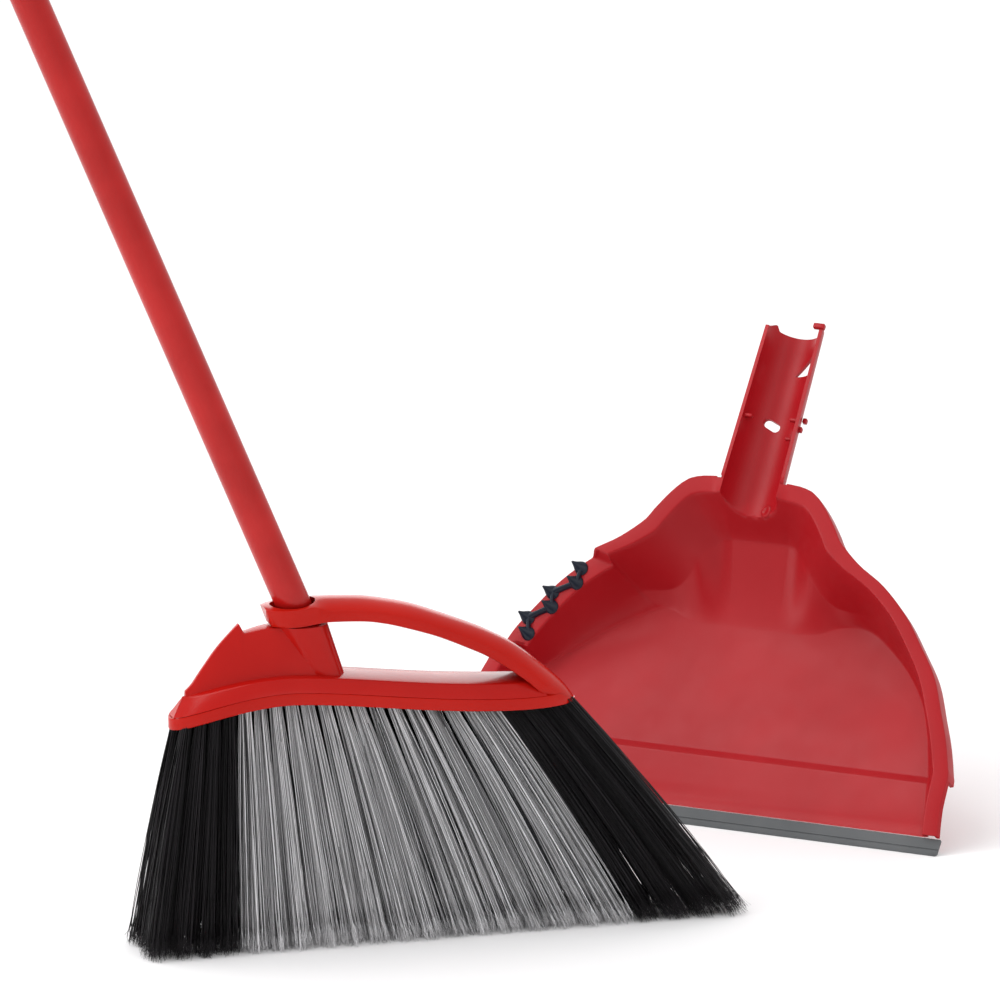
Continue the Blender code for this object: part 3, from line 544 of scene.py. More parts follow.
def make_bow():
    """The guard bow: flat sides, tight shoulders, a low crown with a parting groove."""
    rings = []
    last = len(BOW_UNDERSIDE) - 1
    arc = [pi * k / 30 for k in range(31)]
    groove = 1.86
    arc = sorted(arc + [groove - 0.02, groove, groove + 0.02])
    power = 1.45
    count = 150
    for i in range(count + 1):
        t = last * i / count
        low, high = curve_at(BOW_UNDERSIDE, t), curve_at(BOW_CROWN, t)
        middle = (low[0] + high[0]) / 2.0
        thick = (Vector(high) - Vector(low)).length
        half = bow_half(middle)
        flat = 0.66 + (0.33 - 0.66) * t / last
        flat += (0.9 - flat) * smooth_step((-62.0 - middle) / 12.0)
        profile = [(-0.90, 0.0), (-0.97, 0.03), (-1.0, 0.1)]
        for angle in arc:
            up = flat + (1.0 - flat) * max(0.0, sin(angle)) ** power
            if angle == groove:
                up -= 0.45 / thick * smooth_step((middle + 60.0) / 4.0)
            profile.append((-cos(angle), up))
        profile += [(1.0, 0.1), (0.97, 0.03), (0.90, 0.0)]
        ring = []
        for across, up in profile:
            ring.append((low[0] + (high[0] - low[0]) * up, across * half,
                         low[1] + (high[1] - low[1]) * up))
        rings.append(ring)
    bow = solid("guard_bow", *loft(rings), SHIFT)
    hole = solid("collar_hole", *turned([(-30, COLLAR_RADIUS), (30, COLLAR_RADIUS)], 72), POLE)
    cut(bow, hole)
    return bow


def make_frame():
    """The band and the bow as one piece."""
    band = make_band()
    bow = make_bow()
    bpy.context.view_layer.update()
    joined = bmesh.new()
    joined.from_mesh(band.data)
    absorb(joined, bow)
    joined.to_mesh(band.data)
    joined.free()
    shaded(band.data, 38)
    finished(band, "broom_head", "head", HEAD_RED, "head_frame")


def cover_section(t):
    """One section of the cover with rounded shoulders; its right end slants along the bow."""
    foot_x = COVER_LEFT[0] + (COVER_RIGHT[0] - COVER_LEFT[0]) * t
    top_x = COVER_LEFT[1] + (COVER_RIGHT[1] - COVER_LEFT[1]) * t
    foot_half = max(1.5, half_depth(foot_x) - SHUT_LINE)
    top_half = max(1.0, half_depth(foot_x) - COVER_INSET)
    foot_z = band_foot(foot_x) + BAND_HEIGHT + SHUT_LINE
    top_z = band_foot(top_x) + COVER_RISE
    ring = [
        (foot_x, -foot_half, foot_z), (foot_x, foot_half, foot_z), (top_x, top_half, top_z),
        (top_x, top_half * 0.5, top_z + 0.75), (top_x, 0.0, top_z + 1.0),
        (top_x, -top_half * 0.5, top_z + 0.75), (top_x, -top_half, top_z),
    ]
    return rounded(ring, (0.4, 0.4, 0.9, 3.0, 4.0, 3.0, 0.9), 3)


def fin_mesh():
    """The fin: a thin left edge that swells towards the socket."""
    edge = [curve_at(FIN_EDGE, 5.0 * i / 30) for i in range(31)]
    edge += [(-113.6, 194.6), (-112.6, 192.4), (-111.4, 190.8)]
    edge += [(-111.4 + 34.4 * k / 16, 190.8 + 2.9 * sin(pi / 2 * min(1.0, k / 9)))
             for k in range(1, 17)]
    rings = []
    for x, top_z in edge:
        foot_x = x + 13.0 * smooth_step((x + 112.0) / 35.0)
        foot_half = 11.0 * sqrt(min(1.0, (x + 149.0) / 50.0))
        top_half = 1.3 + 5.7 * smooth_step((x + 122.0) / 40.0)
        foot_z = band_foot(x) + COVER_RISE - 0.9
        full_z = top_z if x <= FIN_EDGE[-1][0] else FIN_EDGE[-1][1]
        trimmed = (top_z - foot_z) / (full_z - foot_z)
        ring = []
        for side in (-1.0, 1.0):
            for k in range(9):
                u = k / 8 if side > 0 else 1.0 - k / 8
                v = u * trimmed
                half = (foot_half + (top_half - foot_half) * v
                        + 0.8 * sin(pi * v) * min(1.0, foot_half / 8.0))
                ring.append((foot_x + (x - foot_x) * u, side * half,
                             foot_z + (top_z - foot_z) * u))
        rings.append(ring)
    return loft(rings)


def make_cover():
    """The cover, the fin and the pole socket as one piece."""
    rings = [cover_section(0.5 - 0.5 * cos(pi * i / 120)) for i in range(121)]
    cover = solid("cover_shell", *loft(rings), SHIFT)
    fin = softened(solid("fin", *fin_mesh(), SHIFT, sharp=50), 0.5, 3, 40)
    lean = radians(POLE_LEAN)
    rings = []
    for level in SOCKET_LEVELS:
        ring = []
        for k in range(96):
            angle = 2.0 * pi * k / 96
            tilt = sin(lean) * cos(angle)
            along = (level - AXIS_Z - tilt * SOCKET_RADIUS) / (cos(lean) + tilt * SOCKET_TAPER)
            radius = SOCKET_RADIUS + SOCKET_TAPER * along
            ring.append((AXIS_X - sin(lean) * along + cos(lean) * radius * cos(angle),
                         radius * sin(angle), level))
        rings.append(ring)
    socket = solid("socket", *loft(rings), SHIFT)
    bore = solid("bore", *turned([(-60, BORE_RADIUS), (20, BORE_RADIUS)], 72), POLE)
    mouth = solid("mouth", *turned([(-8, MOUTH_RADIUS), (20, MOUTH_RADIUS)], 72), POLE)
    cut(cover, fin, socket, operation="UNION")
    cut(cover, bore, mouth)
    finished(cover, "broom_head", "cover", COVER_RED, "head_cover")


# ---------------------------------------------------------------- pole

def make_pole():
    inner = POLE_RADIUS - POLE_WALL
    top = POLE_START + POLE_LENGTH
    levels = [(POLE_RADIUS - 0.15, POLE_START)] + [
        (POLE_RADIUS, POLE_START + 0.2 + (POLE_LENGTH - 0.4) * k / 40) for k in range(41)
    ] + [(POLE_RADIUS - 0.15, top), (inner, top), (inner, POLE_START)]
    rings = [circle(radius, height, 96) for radius, height in levels]
    tube = solid("painted_tube", *loft(rings, closed=True), POLE, sharp=50)
    finished(tube, "pole", "pole", POLE_RED, "pole_tube")


def make_cap():
    """The end cap: a ribbed grip, an eye that flattens towards its top, and its hole."""
    top = POLE_START + POLE_LENGTH
    sides = 96
    rings = []
    flat_share = 4.5 / CAP_RADIUS
    levels = [(9.7, -20.0, 1.0), (9.7, 0.3, 1.0), (10.8, 0.31, 1.0), (10.8, -25.8, 1.0),
              (11.2, -26.0, 1.0), (11.9, -25.9, 1.0), (CAP_RADIUS, -25.4, 1.0)]
    for k in range(6):
        base = -22.0 + 3.6 * k
        levels += [(CAP_RADIUS, base, 1.0), (CAP_GRIP_RADIUS, base + 0.4, 1.0),
                   (CAP_GRIP_RADIUS, base + 1.3, 1.0), (CAP_RADIUS, base + 1.7, 1.0)]
    levels += [(CAP_RADIUS, 2.4, 1.0), (12.1, 4.5, 0.93), (11.95, 6.5, 0.8), (11.8, 8.5, 0.62),
               (11.7, 10.5, 0.46), (11.6, 12.0, flat_share)]
    levels += [(11.6 - 0.8 * k / 6, 12.0 + 12.0 * k / 6, flat_share) for k in range(1, 7)]
    levels += [(10.8 * cos(a), 24.0 + 10.0 * sin(a), flat_share)
               for a in (0.2, 0.4, 0.6, 0.8, 1.0, 1.15, 1.3, 1.4)]
    for radius, height, flat in levels:
        ring = []
        for k in range(sides):
            angle = 2.0 * pi * k / sides
            wide = max(-1.0, min(1.0, sin(angle) / max(flat, 0.01)))
            ring.append((radius * cos(angle), wide * min(radius * flat, radius), top + height))
        rings.append(ring)
    cap = solid("hanger_cap", *loft(rings), POLE, sharp=50)
    across = (POLE @ Matrix.Translation(Vector((0, 0, top + HANG_HOLE_UP)) * MM)
              @ Matrix.Rotation(pi / 2, 4, "X"))
    profile = [(-20, 8.2), (-4.6, 6.7), (-3.6, 6.5), (3.6, 6.5), (4.6, 6.7), (20, 8.2)]
    hole = solid("hanger_hole", *turned(profile, 64), across)
    cut(cap, hole, sharp=50)
    finished(cap, "pole", "black_plastic", BLACK, "pole_cap")


# ---------------------------------------------------------------- bristles

def make_tuft(name, index, share, side, grey, count):
    """One tuft as separate filaments, each with a bent, split and frayed tip."""
    rng = np.random.default_rng(SEED * 1000 + index)
    crowding = sin(pi * share)
    root_x = ROOT_LEFT + (ROOT_RIGHT - ROOT_LEFT) * (share - ROOT_CROWDING * crowding)
    tip_x = TIP_LEFT + (TIP_RIGHT - TIP_LEFT) * (share - TIP_CROWDING * crowding)
    root_y = side * min(ROOT_ROW, half_depth(root_x) - ROOT_EDGE_GAP)
    fill = 0.54 if side > 0 or share > 0.8 else 0.39
    slant = pi * cos(pi * share)
    root_wide = (fill * (ROOT_RIGHT - ROOT_LEFT) / (FRONT_TUFTS - 1)
                 * (1.0 - ROOT_CROWDING * slant))
    tip_wide = (0.52 * (TIP_RIGHT - TIP_LEFT) / (FRONT_TUFTS - 1)
                * (1.0 - TIP_CROWDING * slant))
    reach = np.sqrt(rng.random(count))
    turn = rng.random(count) * 2 * pi
    a = np.stack([root_x + root_wide * reach * np.cos(turn),
                  root_y + 3.5 * reach * np.sin(turn)], 1)
    spread = np.clip(reach + rng.normal(0, 0.05, count), 0, 1.06)
    b = np.stack([tip_x + tip_wide * spread * np.cos(turn) + rng.normal(0, 0.7, count),
                  side * TIP_ROW + 12.8 * spread * np.sin(turn) + rng.normal(0, 0.6, count)], 1)
    z0 = np.array([band_foot(x) for x in a[:, 0]]) + 3.0
    z1 = np.abs(rng.normal(0, 1.6, count)) + 0.8
    steps = 9
    u = FILAMENT_END * np.linspace(0, 1, steps) ** 0.85
    bow = rng.normal(0, 1.0, (count, 2))
    phase = rng.random((count, 2)) * 2 * pi
    ripple = rng.normal(0, 0.35, (count, 2))
    ease = u + 0.10 * u * (1 - u)
    flat = a[:, None, :] + (b - a)[:, None, :] * ease[None, :, None]
    flat += bow[:, None, :] * (u * (1 - u) * 4 * 0.8)[None, :, None]
    flat += (ripple[:, None, :] * np.sin(phase[:, None, :] + u[None, :, None] * 9.0)
             * u[None, :, None])
    height = z0[:, None] + (z1 - z0)[:, None] * u[None, :]
    main = np.concatenate([flat, height[:, :, None]], 2)
    # The last stretch of every filament is split into finer hairs that fan out and curl.
    split_at = rng.uniform(0.90, FILAMENT_END, count)
    hairs = []
    for _ in range(SPLIT_HAIRS):
        way = rng.normal(0, 1.0, (count, 2)) * np.array([1.0, 0.9])
        curl = rng.normal(0, 1.0, (count, 2)) * 0.6
        v = np.linspace(0, 1, 5)
        s = split_at[:, None] + (1 - split_at)[:, None] * v[None, :]
        start = a[:, None, :] + (b - a)[:, None, :] * (s + 0.10 * s * (1 - s))[:, :, None]
        start += bow[:, None, :] * (s * (1 - s) * 4 * 0.8)[:, :, None]
        start += (ripple[:, None, :] * np.sin(phase[:, None, :] + s[:, :, None] * 9.0)
                  * s[:, :, None])
        start += (way[:, None, :] * (v ** 1.3)[None, :, None]
                  + curl[:, None, :] * np.sin(v * 4.0)[None, :, None] * v[None, :, None])
        end = np.maximum(0.35, z1 + rng.normal(0, 1.5, count) - 0.6)
        drop = z0[:, None] + (z1 - z0)[:, None] * s
        drop = drop + (end - z1)[:, None] * v[None, :] ** 2
        hairs.append(np.concatenate([start, drop[:, :, None]], 2))
    tone = np.clip(rng.normal(0.50, 0.36, count), 0, 1)
    batches = [(main, 0.29, 0.24, tone, 0.04)]
    batches += [(h, 0.17, 0.07, tone + 0.04, 0.2) for h in hairs]
    points, faces, tones = [], [], []
    offset = 0
    for line, r0, r1, base, lift in batches:
        n, m, _ = line.shape
        radius = np.linspace(r0, r1, m)
        ring = np.array([[cos(2 * pi * k / 3), sin(2 * pi * k / 3), 0.0] for k in range(3)])
        body = line[:, :, None, :] + ring[None, None] * radius[None, :, None, None]
        points.append(body.reshape(-1, 3))
        run = np.linspace(0, lift, m)
        shade = np.clip(base[:, None] + run[None, :], 0, 1)
        tones.append(np.repeat(shade[:, :, None], 3, 2).reshape(-1))
        ids = np.arange(n * m * 3).reshape(n, m, 3) + offset
        here, after = ids[:, :-1], ids[:, 1:]
        sides = np.stack([here, np.roll(here, -1, 2), np.roll(after, -1, 2), after], -1)
        faces.append(sides.reshape(-1, 4))
        caps = ids[:, -1]
        faces.append(np.stack([caps[:, 0], caps[:, 1], caps[:, 2], caps[:, 2]], -1))
        offset += n * m * 3
    co = np.concatenate(points)
    co[:, 2] = np.maximum(co[:, 2], 0.15)
    co = co * MM + np.array(SHIFT.translation)
    quads = np.concatenate(faces)
    tri = quads[:, 2] == quads[:, 3]
    mesh = bpy.data.meshes.new(name)
    mesh.vertices.add(len(co))
    mesh.vertices.foreach_set("co", co.astype(np.float32).reshape(-1))
    sizes = np.where(tri, 3, 4)
    starts = np.concatenate([[0], np.cumsum(sizes)[:-1]])
    loops = np.concatenate([q[:k] for q, k in zip(quads, sizes)])
    mesh.loops.add(len(loops))
    mesh.loops.foreach_set("vertex_index", loops.astype(np.int32))
    mesh.polygons.add(len(quads))
    mesh.polygons.foreach_set("loop_start", starts.astype(np.int32))
    mesh.polygons.foreach_set("loop_total", sizes.astype(np.int32))
    mesh.update(calc_edges=True)
    mesh.validate()
    attribute = mesh.attributes.new("tone", "FLOAT", "POINT")
    attribute.data.foreach_set("value", np.concatenate(tones).astype(np.float32))
    mesh.shade_smooth()
    made = placed(name + "_filaments", mesh)
    finish = TUFT_GREY if grey else TUFT_BLACK
    finished(made, "broom_head", "tuft_grey" if grey else "tuft_black", finish, name)


def make_tufts():
    for i in range(FRONT_TUFTS):
        grey = END_BLACK_TUFTS <= i < FRONT_TUFTS - END_BLACK_TUFTS
        share = i / (FRONT_TUFTS - 1)
        make_tuft(f"tuft_front_{i + 1:02d}", i, share, -1.0, grey, FRONT_FILAMENTS)
    for i in range(REAR_TUFTS):
        share = i / (REAR_TUFTS - 1)
        make_tuft(f"tuft_rear_{i + 1:02d}", REAR_SEED + i, share, 1.0, False, REAR_FILAMENTS)


# ---------------------------------------------------------------- dustpan

def station_at(along):
    """The rim outline's station at this distance from the lip."""
    low, high = 0.0, len(RIM_OUTLINE) - 1.0
    for _ in range(40):
        middle = (low + high) / 2.0
        if curve_at(RIM_OUTLINE, middle)[1] < along:
            low = middle
        else:
            high = middle
    return (low + high) / 2.0


def rim_height(along):
    return RIM_BASE + along * tan(radians(RIM_SLOPE))


def floor_height(along):
    if along <= RAMP_TOP:
        start = LIP_LENGTH + SEAM
        return RAMP_START_Z + (RAMP_TOP_Z - RAMP_START_Z) * (along - start) / (RAMP_TOP - start)
    drop = min(1.0, (along - RAMP_TOP) / (RAMP_FOOT - RAMP_TOP))
    return RAMP_TOP_Z + (PAN_WALL - RAMP_TOP_Z) * drop


def channel_axis(along):
    return rim_height(HANDLE_START) + (along - HANDLE_START) * tan(radians(HANDLE_SLOPE))


def ledge_share(along):
    return smooth_step(min(along - LEDGE_FROM, LEDGE_TO - along) / LEDGE_RAMP)


WALL_STEPS = [0.0, 0.03, 0.07] + [0.07 + 0.93 * (k / 22) for k in range(1, 10)]
WALL_STEPS += [0.485, 0.5, 0.515]
WALL_STEPS += [0.07 + 0.93 * (k / 22) for k in range(11, 23)]
# The points across the rim's flat top: distance outwards from its inner edge, and rise.
# The first is measured inwards from the outer edge, and None is half the width.
FLANGE = ((1.0, 0.0), (None, 0.0), (1.4, 0.0), (0.8, -0.04), (0.35, -0.2))


def wall_points(edge, foot, top, base):
    """A wall that curves down from the rim's inner edge to the floor."""
    control = edge.lerp(foot, WALL_CONTROL)
    out = []
    for u in WALL_STEPS:
        spot = edge * (1 - u) ** 2 + control * 2 * u * (1 - u) + foot * u * u
        out.append(Vector((spot.x, spot.y, base + (top - base) * (1 - u) ** 1.6)))
    return out


def back_points(edge, crease, foot, top):
    """A steep wall down to a crease, and a ramp from the crease to the floor."""
    out = []
    for u in WALL_STEPS:
        if u < 0.5:
            s = u / 0.5
            spot = edge.lerp(Vector((crease[0], crease[1], 0.0)), s)
            height = crease[2] + (top - crease[2]) * (1 - s) ** 1.15
            out.append(Vector((spot.x, spot.y, height)))
        else:
            s = (u - 0.5) / 0.5
            spot = Vector((crease[0], crease[1], 0.0)).lerp(Vector((foot[0], foot[1], 0.0)), s)
            height = PAN_WALL + (crease[2] - PAN_WALL) * (1 - s) ** 1.35
            out.append(Vector((spot.x, spot.y, height)))
    return out


def rim_column(t, side):
    """One station from the skirt over the rim and down the wall; side -1 is the left."""
    rim = Vector((*curve_at(RIM_OUTLINE, t), 0.0))
    foot = Vector((*curve_at(FLOOR_OUTLINE, t), 0.0))
    inward = (foot - rim).normalized()
    back = smooth_step((t - BACK_START - 0.3) / 2.4)
    if side < 0:
        foot += (inward * LEFT_FOOT_INSET * smooth_step((rim.y - 88.0) / 35.0)
                 * smooth_step((180.0 - rim.y) / 30.0))
    share = ledge_share(rim.y) if side < 0 else 0.0
    width = RIM_WIDTH + (LEDGE_WIDTH - RIM_WIDTH) * share
    skirt = rim_height(rim.y) - (SKIRT_DEPTH if rim.y > RAMP_TOP - 1.0 else PAN_WALL + 0.4)
    edge = rim + inward * width

    def top(spot):
        return rim_height(spot.y) - LEDGE_DROP * share

    column = [rim - inward * 0.8 + Vector((0, 0, skirt))]
    for reach, drop in ((-0.05, 1.1), (0.1, 0.55), (0.45, 0.15)):
        spot = rim + inward * reach
        column.append(spot + Vector((0, 0, max(skirt + 0.1, top(rim) - drop))))
    for reach, drop in FLANGE:
        if reach == 1.0:
            spot = rim + inward * 1.0
        else:
            spot = edge - inward * (width / 2 if reach is None else reach)
        column.append(spot + Vector((0, 0, top(spot) + drop)))
    inner_top = top(edge) - 0.55
    wall = wall_points(edge, foot, inner_top, floor_height(rim.y))
    if back > 0.0:
        crease = curve_at(BACK_CREASE, t - BACK_START)
        ramp = back_points(edge, crease, curve_at(BACK_FOOT, t - BACK_START), inner_top)
        wall = [one.lerp(other, back) for one, other in zip(wall, ramp)]
    return [(side * p.x, p.y, p.z) for p in column + wall]


def handle_levels():
    levels = [HANDLE_END, HANDLE_END - 0.5, HANDLE_END - 1.5]
    return levels + [HANDLE_END - 1.5 - (HANDLE_END - 2.5 - HANDLE_START) * k / 30
                     for k in range(1, 31)]


def handle_cut(share):
    """How far the handle's end is cut back at this share of the way across."""
    if share > 0.0:
        return 3.5 - 3.0 * smooth_step((share - 0.88) / 0.05)
    flat_top = 5.0 * smooth_step((-share - 0.62) / 0.38)
    return flat_top + 3.5 * smooth_step((share + 0.70) / 0.14)


def channel_column(share):
    """One line from the handle's end down the channel and the back wall."""
    angle = share * pi / 2.0
    column = []
    for along in handle_levels():
        t = (along - HANDLE_START) / (HANDLE_END - HANDLE_START)
        radius = HANDLE_RADIUS + (HANDLE_TOP_RADIUS - HANDLE_RADIUS) * t
        pulled = along - handle_cut(share) * max(0.0, t) ** 6
        column.append((radius * sin(angle), pulled, channel_axis(pulled) - radius * cos(angle)))
    edge = Vector((HANDLE_RADIUS * sin(angle), HANDLE_START - RIM_WIDTH, 0.0))
    for reach, _ in FLANGE:
        if reach == 1.0:
            y = HANDLE_START - 1.0
        else:
            y = edge.y + (RIM_WIDTH / 2 if reach is None else reach)
        column.append((HANDLE_RADIUS * sin(angle), y, channel_axis(y) - HANDLE_RADIUS * cos(angle)))
    crease, foot = BACK_CREASE[-1], BACK_FOOT[-1]
    crease = (crease[0] * sin(angle), crease[1], crease[2])
    foot = (foot[0] * sin(angle), foot[1])
    for spot in back_points(edge, crease, foot, rim_height(edge.y) - 0.55):
        trough = channel_axis(spot.y) - HANDLE_RADIUS * cos(angle)
        column.append((spot.x, spot.y, min(spot.z, trough)))
    return column


def pan_sheet():
    """The pan's upper surface: both walls, the channel, the ramp and the floor."""
    low = [10.8, 11.6, 20.0, 28.0, 36.0, 44.6, 45.4, 46.0, 46.8, 49.0, 51.2, 52.0, 52.8]
    high = [55.0 + 3.0 * k for k in range(51)]
    high = [q for q in high if q < 207.6]
    right = [station_at(q) for q in low + high]
    left_high = [q for q in high if not (LEDGE_FROM - 1.4 < q < LEDGE_FROM + LEDGE_RAMP + 1.4)
                 and not (LEDGE_TO - LEDGE_RAMP - 1.4 < q < LEDGE_TO + 1.4)]
    left_high += [LEDGE_FROM - 0.4 + (LEDGE_RAMP + 0.8) * k / 9 for k in range(10)]
    left_high += [LEDGE_TO - LEDGE_RAMP - 0.4 + (LEDGE_RAMP + 0.8) * k / 9 for k in range(10)]
    left = [station_at(q) for q in low + sorted(left_high)]
    for group in (right, left):
        group += [14.4, 14.8, 15.2, 15.6, len(RIM_OUTLINE) - 1.0]
        group[:] = sorted(set(round(t, 5) for t in group))
    points, faces = [], []

    def add(column):
        start = len(points)
        points.extend(column)
        return list(range(start, start + len(column)))

    right_columns = [add(rim_column(t, 1.0)) for t in right]
    channel_columns = [add(channel_column(1.0 - k / 24)) for k in range(49)]
    left_columns = [add(rim_column(t, -1.0)) for t in left]
    for columns in (right_columns, list(reversed(left_columns)), channel_columns):
        for here, after in zip(columns, columns[1:]):
            for j in range(len(here) - 1):
                faces.append((here[j], here[j + 1], after[j + 1], after[j]))
    common = len(FLANGE) + len(WALL_STEPS)
    for rim_col, channel_col, flip in ((right_columns[-1], channel_columns[0], False),
                                       (left_columns[-1], channel_columns[-1], True)):
        one, other = rim_col[-common:], channel_col[-common:]
        for j in range(common - 1):
            face = (one[j], one[j + 1], other[j + 1], other[j])
            faces.append(tuple(reversed(face)) if flip else face)
    ramp = len(low) - 1
    for i in range(ramp):
        faces.append((right_columns[i][-1], left_columns[i][-1],
                      left_columns[i + 1][-1], right_columns[i + 1][-1]))
    border = [c[-1] for c in right_columns[ramp:]] + [c[-1] for c in channel_columns]
    border += [c[-1] for c in reversed(left_columns[ramp:])]
    faces.append(tuple(reversed(border)))
    return points, [tuple(reversed(face)) for face in faces]


def block(spot, size, turn=0.0, radius=0.6):
    """A small rounded block in pan coordinates."""
    x, y, z = (s / 2 for s in size)
    ring = rounded([(-x, -y, 0), (x, -y, 0), (x, y, 0), (-x, y, 0)], (radius,) * 4, 4)
    rings = []
    for level, inset in ((-z, 0.35), (-z + 0.2, 0.08), (-z + 0.45, 0.0),
                         (z - 0.45, 0.0), (z - 0.2, 0.08), (z, 0.35)):
        rings.append([
            (spot[0] + (px * cos(turn) - py * sin(turn)) * (1 - inset / max(x, 1)),
             spot[1] + (px * sin(turn) + py * cos(turn)) * (1 - inset / max(y, 1)), spot[2] + level)
            for px, py, _ in ring])
    return loft(rings)


def make_pan():
    body = solid("pan_shell", *pan_sheet(), PAN, closed=False, sharp=60)
    shell = body.modifiers.new("wall", "SOLIDIFY")
    shell.thickness = PAN_WALL * MM
    shell.offset = -1.0
    shell.use_even_offset = False
    shell.use_quality_normals = True
    settle(body, 60)
    slot = [(2.5 + 3.0 * cos(pi * k / 12), 3.0 * sin(pi * k / 12)) for k in range(-6, 7)]
    slot += [(-2.5 - 3.0 * cos(pi * k / 12), -3.0 * sin(pi * k / 12)) for k in range(-6, 7)]
    corner = rounded([(-6.0, -6.0, 0), (6.5, -6.0, 0), (8.0, 7.5, 0), (5.0, 8.0, 0)],
                     (1.5, 1.0, 1.0, 1.5), 4)
    tools = []
    for name, outline, spot, turn in (("slot", slot, (-4.5, 254.0), -0.35),
                                      ("corner", [p[:2] for p in corner], (7.5, 294.0), 0.0)):
        ring = [(x * cos(turn) - y * sin(turn) + spot[0],
                 x * sin(turn) + y * cos(turn) + spot[1]) for x, y in outline]
        prism = loft([[(*p, 40.0) for p in ring], [(*p, 90.0) for p in ring]])
        tools.append(solid(name, *prism, PAN))
    cut(body, *tools, sharp=60, self_cut=True)
    extras = bmesh.new()
    extras.from_mesh(body.data)
    for spot, size, turn in (
        ((-15.6, 252.0, channel_axis(252) - 3.5), (5.6, 2.0, 3.0), 0.0),
        ((15.6, 252.0, channel_axis(252) - 3.5), (5.6, 2.0, 3.0), 0.0),
        ((12.0, 243.0, channel_axis(243) - 11.0), (5.0, 1.8, 2.4), 0.0),
        ((16.6, HANDLE_END - 2.4, channel_axis(HANDLE_END) - 0.6), (7.4, 3.2, 3.4), 0.0),
    ):
        absorb(extras, solid("detail", *block(spot, size, turn), PAN))
    for k in range(2):
        spot = (20.6 - 0.1 * k, 247.0 + 8.0 * k, channel_axis(247) - 5.0 - 3.0 * k)
        absorb(extras, solid("detail", *block(spot, (2.6, 3.2, 3.2)), PAN))
    boss = turned([(0.0, 4.2), (0.9, 4.0), (1.3, 3.4), (1.4, 2.2), (1.0, 1.8), (0.9, 0.2)], 32)
    seat_z = channel_axis(197.0) - sqrt(HANDLE_RADIUS ** 2 - 7.6 ** 2)
    seat = (PAN @ Matrix.Translation(Vector((7.6, 197.0, seat_z - 0.4)) * MM)
            @ Matrix.Rotation(-0.41, 4, "Y") @ Matrix.Rotation(0.11, 4, "X"))
    absorb(extras, solid("detail", *boss, seat))
    extras.to_mesh(body.data)
    extras.free()
    shaded(body.data, 60)
    finished(body, "dustpan", "pan", PAN_RED, "pan_body")


def make_lip():
    section = [(0.3, 0.0), (0.0, 0.25), (0.05, 0.6), (0.5, 0.95), (3.2, 1.55), (3.5, 1.2),
               (3.9, 1.2), (4.2, 1.75), (LIP_LENGTH - 0.4, 2.95), (LIP_LENGTH, 2.7),
               (LIP_LENGTH, 0.4)]
    rings = []
    across = [-LIP_HALF_WIDTH, -LIP_HALF_WIDTH + 0.4, -LIP_HALF_WIDTH + 1.5]
    across += [-LIP_HALF_WIDTH + 1.5 + (2 * LIP_HALF_WIDTH - 3.0) * k / 40 for k in range(1, 41)]
    across += [LIP_HALF_WIDTH - 0.4, LIP_HALF_WIDTH]
    for w in across:
        edge = LIP_HALF_WIDTH - abs(w)
        front = 1.5 * (1.0 - min(1.0, edge / 1.5)) ** 2
        rings.append([(w, max(y, front), z) for y, z in section])
    lip = solid("lip_strip", *loft(rings), PAN, sharp=40)
    finished(lip, "dustpan", "lip", LIP_GREY, "pan_lip")


def tooth_spots():
    """The feet of the comb's teeth and the way each leans out."""
    low_end = LEDGE_FROM + TOOTH_END_GAP
    high_end = LEDGE_TO - TOOTH_END_GAP
    spots = []
    out_ways = []
    for i in range(TOOTH_COUNT):
        t = station_at(low_end + (high_end - low_end) * i / (TOOTH_COUNT - 1))
        rim = Vector((*curve_at(RIM_OUTLINE, t), 0.0))
        foot = Vector((*curve_at(FLOOR_OUTLINE, t), 0.0))
        row = TOOTH_ROW if i % 2 == 0 else -TOOTH_ROW
        spot = rim + (foot - rim).normalized() * (LEDGE_WIDTH / 2.0 - 0.2 + row)
        outward = (rim - foot).normalized()
        out_ways.append(Vector((-outward.x, outward.y, 0.0)) * TOOTH_REACH)
        spots.append(Vector((-spot.x, spot.y, rim_height(spot.y) - LEDGE_DROP + SEAM)))
    return spots, out_ways


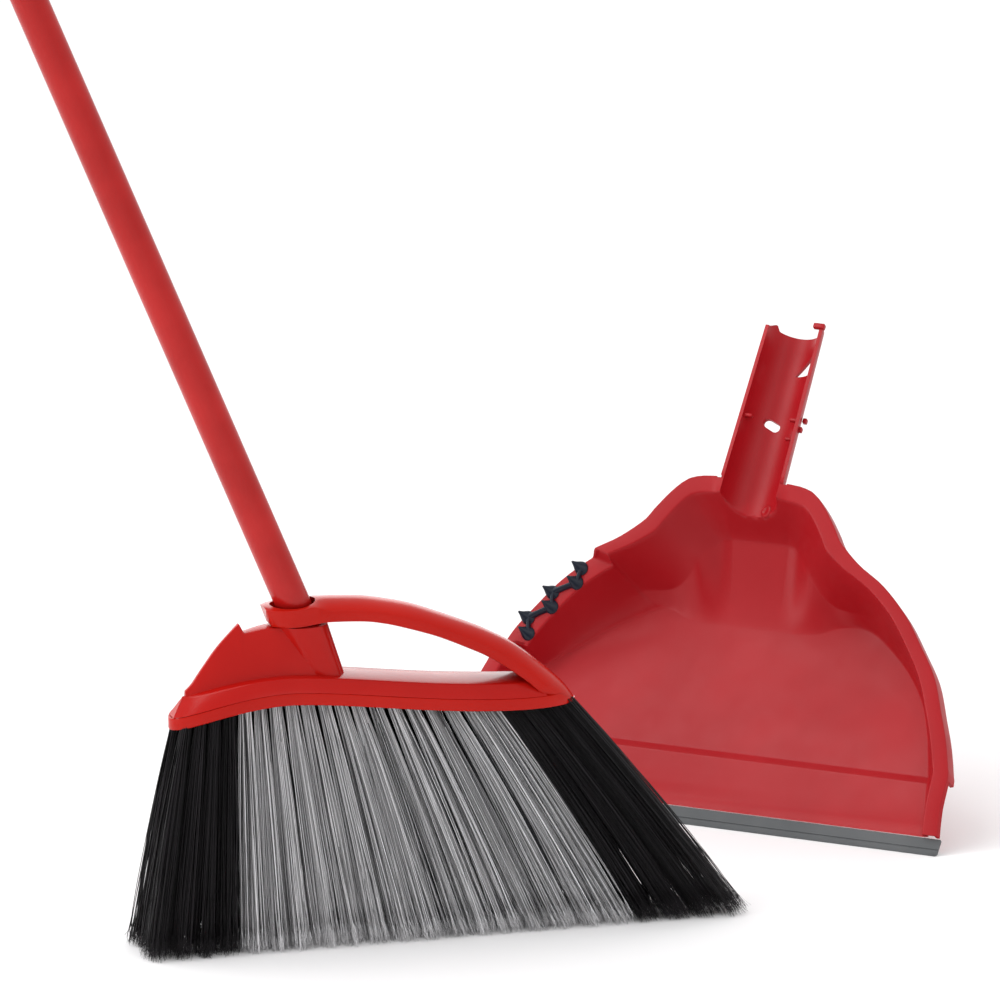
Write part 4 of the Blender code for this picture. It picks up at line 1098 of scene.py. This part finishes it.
def make_comb():
    spots, out_ways = tooth_spots()
    slope = tan(radians(RIM_SLOPE))
    work = bmesh.new()
    profile = [(1.0, 0.0), (1.04, 0.03), (1.03, 0.08), (0.97, 0.15), (0.86, 0.26),
               (0.70, 0.40), (0.53, 0.55), (0.38, 0.70), (0.27, 0.82), (0.20, 0.91),
               (0.15, 0.96), (0.08, 0.99), (0.02, 1.0)]
    for spot, out_way in zip(spots, out_ways):
        rings = []
        for radius, height in profile:
            ring = []
            for k in range(40):
                angle = 2.0 * pi * k / 40
                x, y = TOOTH_RADIUS * radius * cos(angle), TOOTH_RADIUS * radius * sin(angle)
                z = TOOTH_HEIGHT * height + y * slope * (1 - height)
                ring.append((spot.x + x + out_way.x * height,
                             spot.y + y + out_way.y * height, spot.z + z))
            rings.append(ring)
        absorb(work, solid("tooth", *loft(rings), PAN))
    for a, b in zip(spots, spots[1:]):
        forward = (b - a).normalized()
        side = Vector((-forward.y, forward.x, 0.0)).normalized()
        rings = []
        for k in range(13):
            u = k / 12
            here = a.lerp(b, u)
            waist = 1.0 - 0.32 * sin(pi * u)
            ring = []
            for angle in [pi * q / 10 for q in range(11)]:
                reach, up = 2.1 * waist * cos(angle), 0.1 + 2.9 * sin(angle) ** 0.7
                spot = here + side * reach
                ring.append((spot.x, spot.y, here.z + up + (spot.y - here.y) * slope))
            rings.append(ring)
        absorb(work, solid("runner", *loft(rings), PAN))
    mesh = bpy.data.meshes.new("comb_insert")
    work.to_mesh(mesh)
    work.free()
    shaded(mesh, 50)
    comb = placed("comb_insert", mesh)
    finished(comb, "dustpan", "comb", COMB_NAVY, "pan_comb")


# ---------------------------------------------------------------- carried-over nodes

def dress(node, finish):
    """New material for a CAD node that is shown as it is."""
    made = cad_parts[node]
    made.data.materials.clear()
    made.data.materials.append(finish)


# ---------------------------------------------------------------- stage

def area(name, spot, aim, size, power):
    """A soft box that lights the object and does not show."""
    light = bpy.data.lights.new(name, "AREA")
    light.shape = "RECTANGLE"
    light.size, light.size_y = size
    light.energy = power
    made = bpy.data.objects.new(name, light)
    made.location = spot
    made.rotation_mode = "QUATERNION"
    made.rotation_quaternion = (Vector(aim) - Vector(spot)).to_track_quat("-Z", "Y")
    made.visible_camera = False
    bpy.context.scene.collection.objects.link(made)


def make_stage():
    half = FLOOR_HALF
    mesh = bpy.data.meshes.new("floor")
    mesh.from_pydata([(-half, -half, 0), (half, -half, 0), (half, half, 0), (-half, half, 0)],
                     [], [(0, 1, 2, 3)])
    floor = placed("floor", mesh)
    made, _, _, shader = shader_base("floor white")
    shader.inputs["Base Color"].default_value = (0.93, 0.925, 0.93, 1.0)
    shader.inputs["Roughness"].default_value = 0.8
    shader.inputs["Specular IOR Level"].default_value = 0.0
    mesh.materials.append(made)
    world = bpy.data.worlds.new("studio")
    world.use_nodes = True
    background = world.node_tree.nodes["Background"]
    background.inputs["Color"].default_value = (1.0, 1.0, 1.0, 1.0)
    background.inputs["Strength"].default_value = WORLD_STRENGTH
    bpy.context.scene.world = world
    bpy.context.scene.view_settings.view_transform = "Standard"
    for light in LIGHTS:
        area(*light)


def make_camera():
    data = bpy.data.cameras.new("camera")
    data.sensor_width = 36.0
    data.lens = CAMERA_LENS
    data.clip_end = 200.0
    camera = bpy.data.objects.new("camera", data)
    camera.location = SHIFT @ Vector(CAMERA_SPOT)
    camera.rotation_mode = "QUATERNION"
    camera.rotation_quaternion = Vector(CAMERA_WAY).to_track_quat("-Z", "Y")
    bpy.context.scene.collection.objects.link(camera)
    bpy.context.scene.camera = camera


make_frame()
make_cover()
make_pole()
make_cap()
make_tufts()
make_pan()
make_lip()
make_comb()
dress("bristle_block", BLACK)
dress("pole_thread_tip", BLACK)
dress("bow_rear_strip", HEAD_RED)
make_stage()
make_camera()
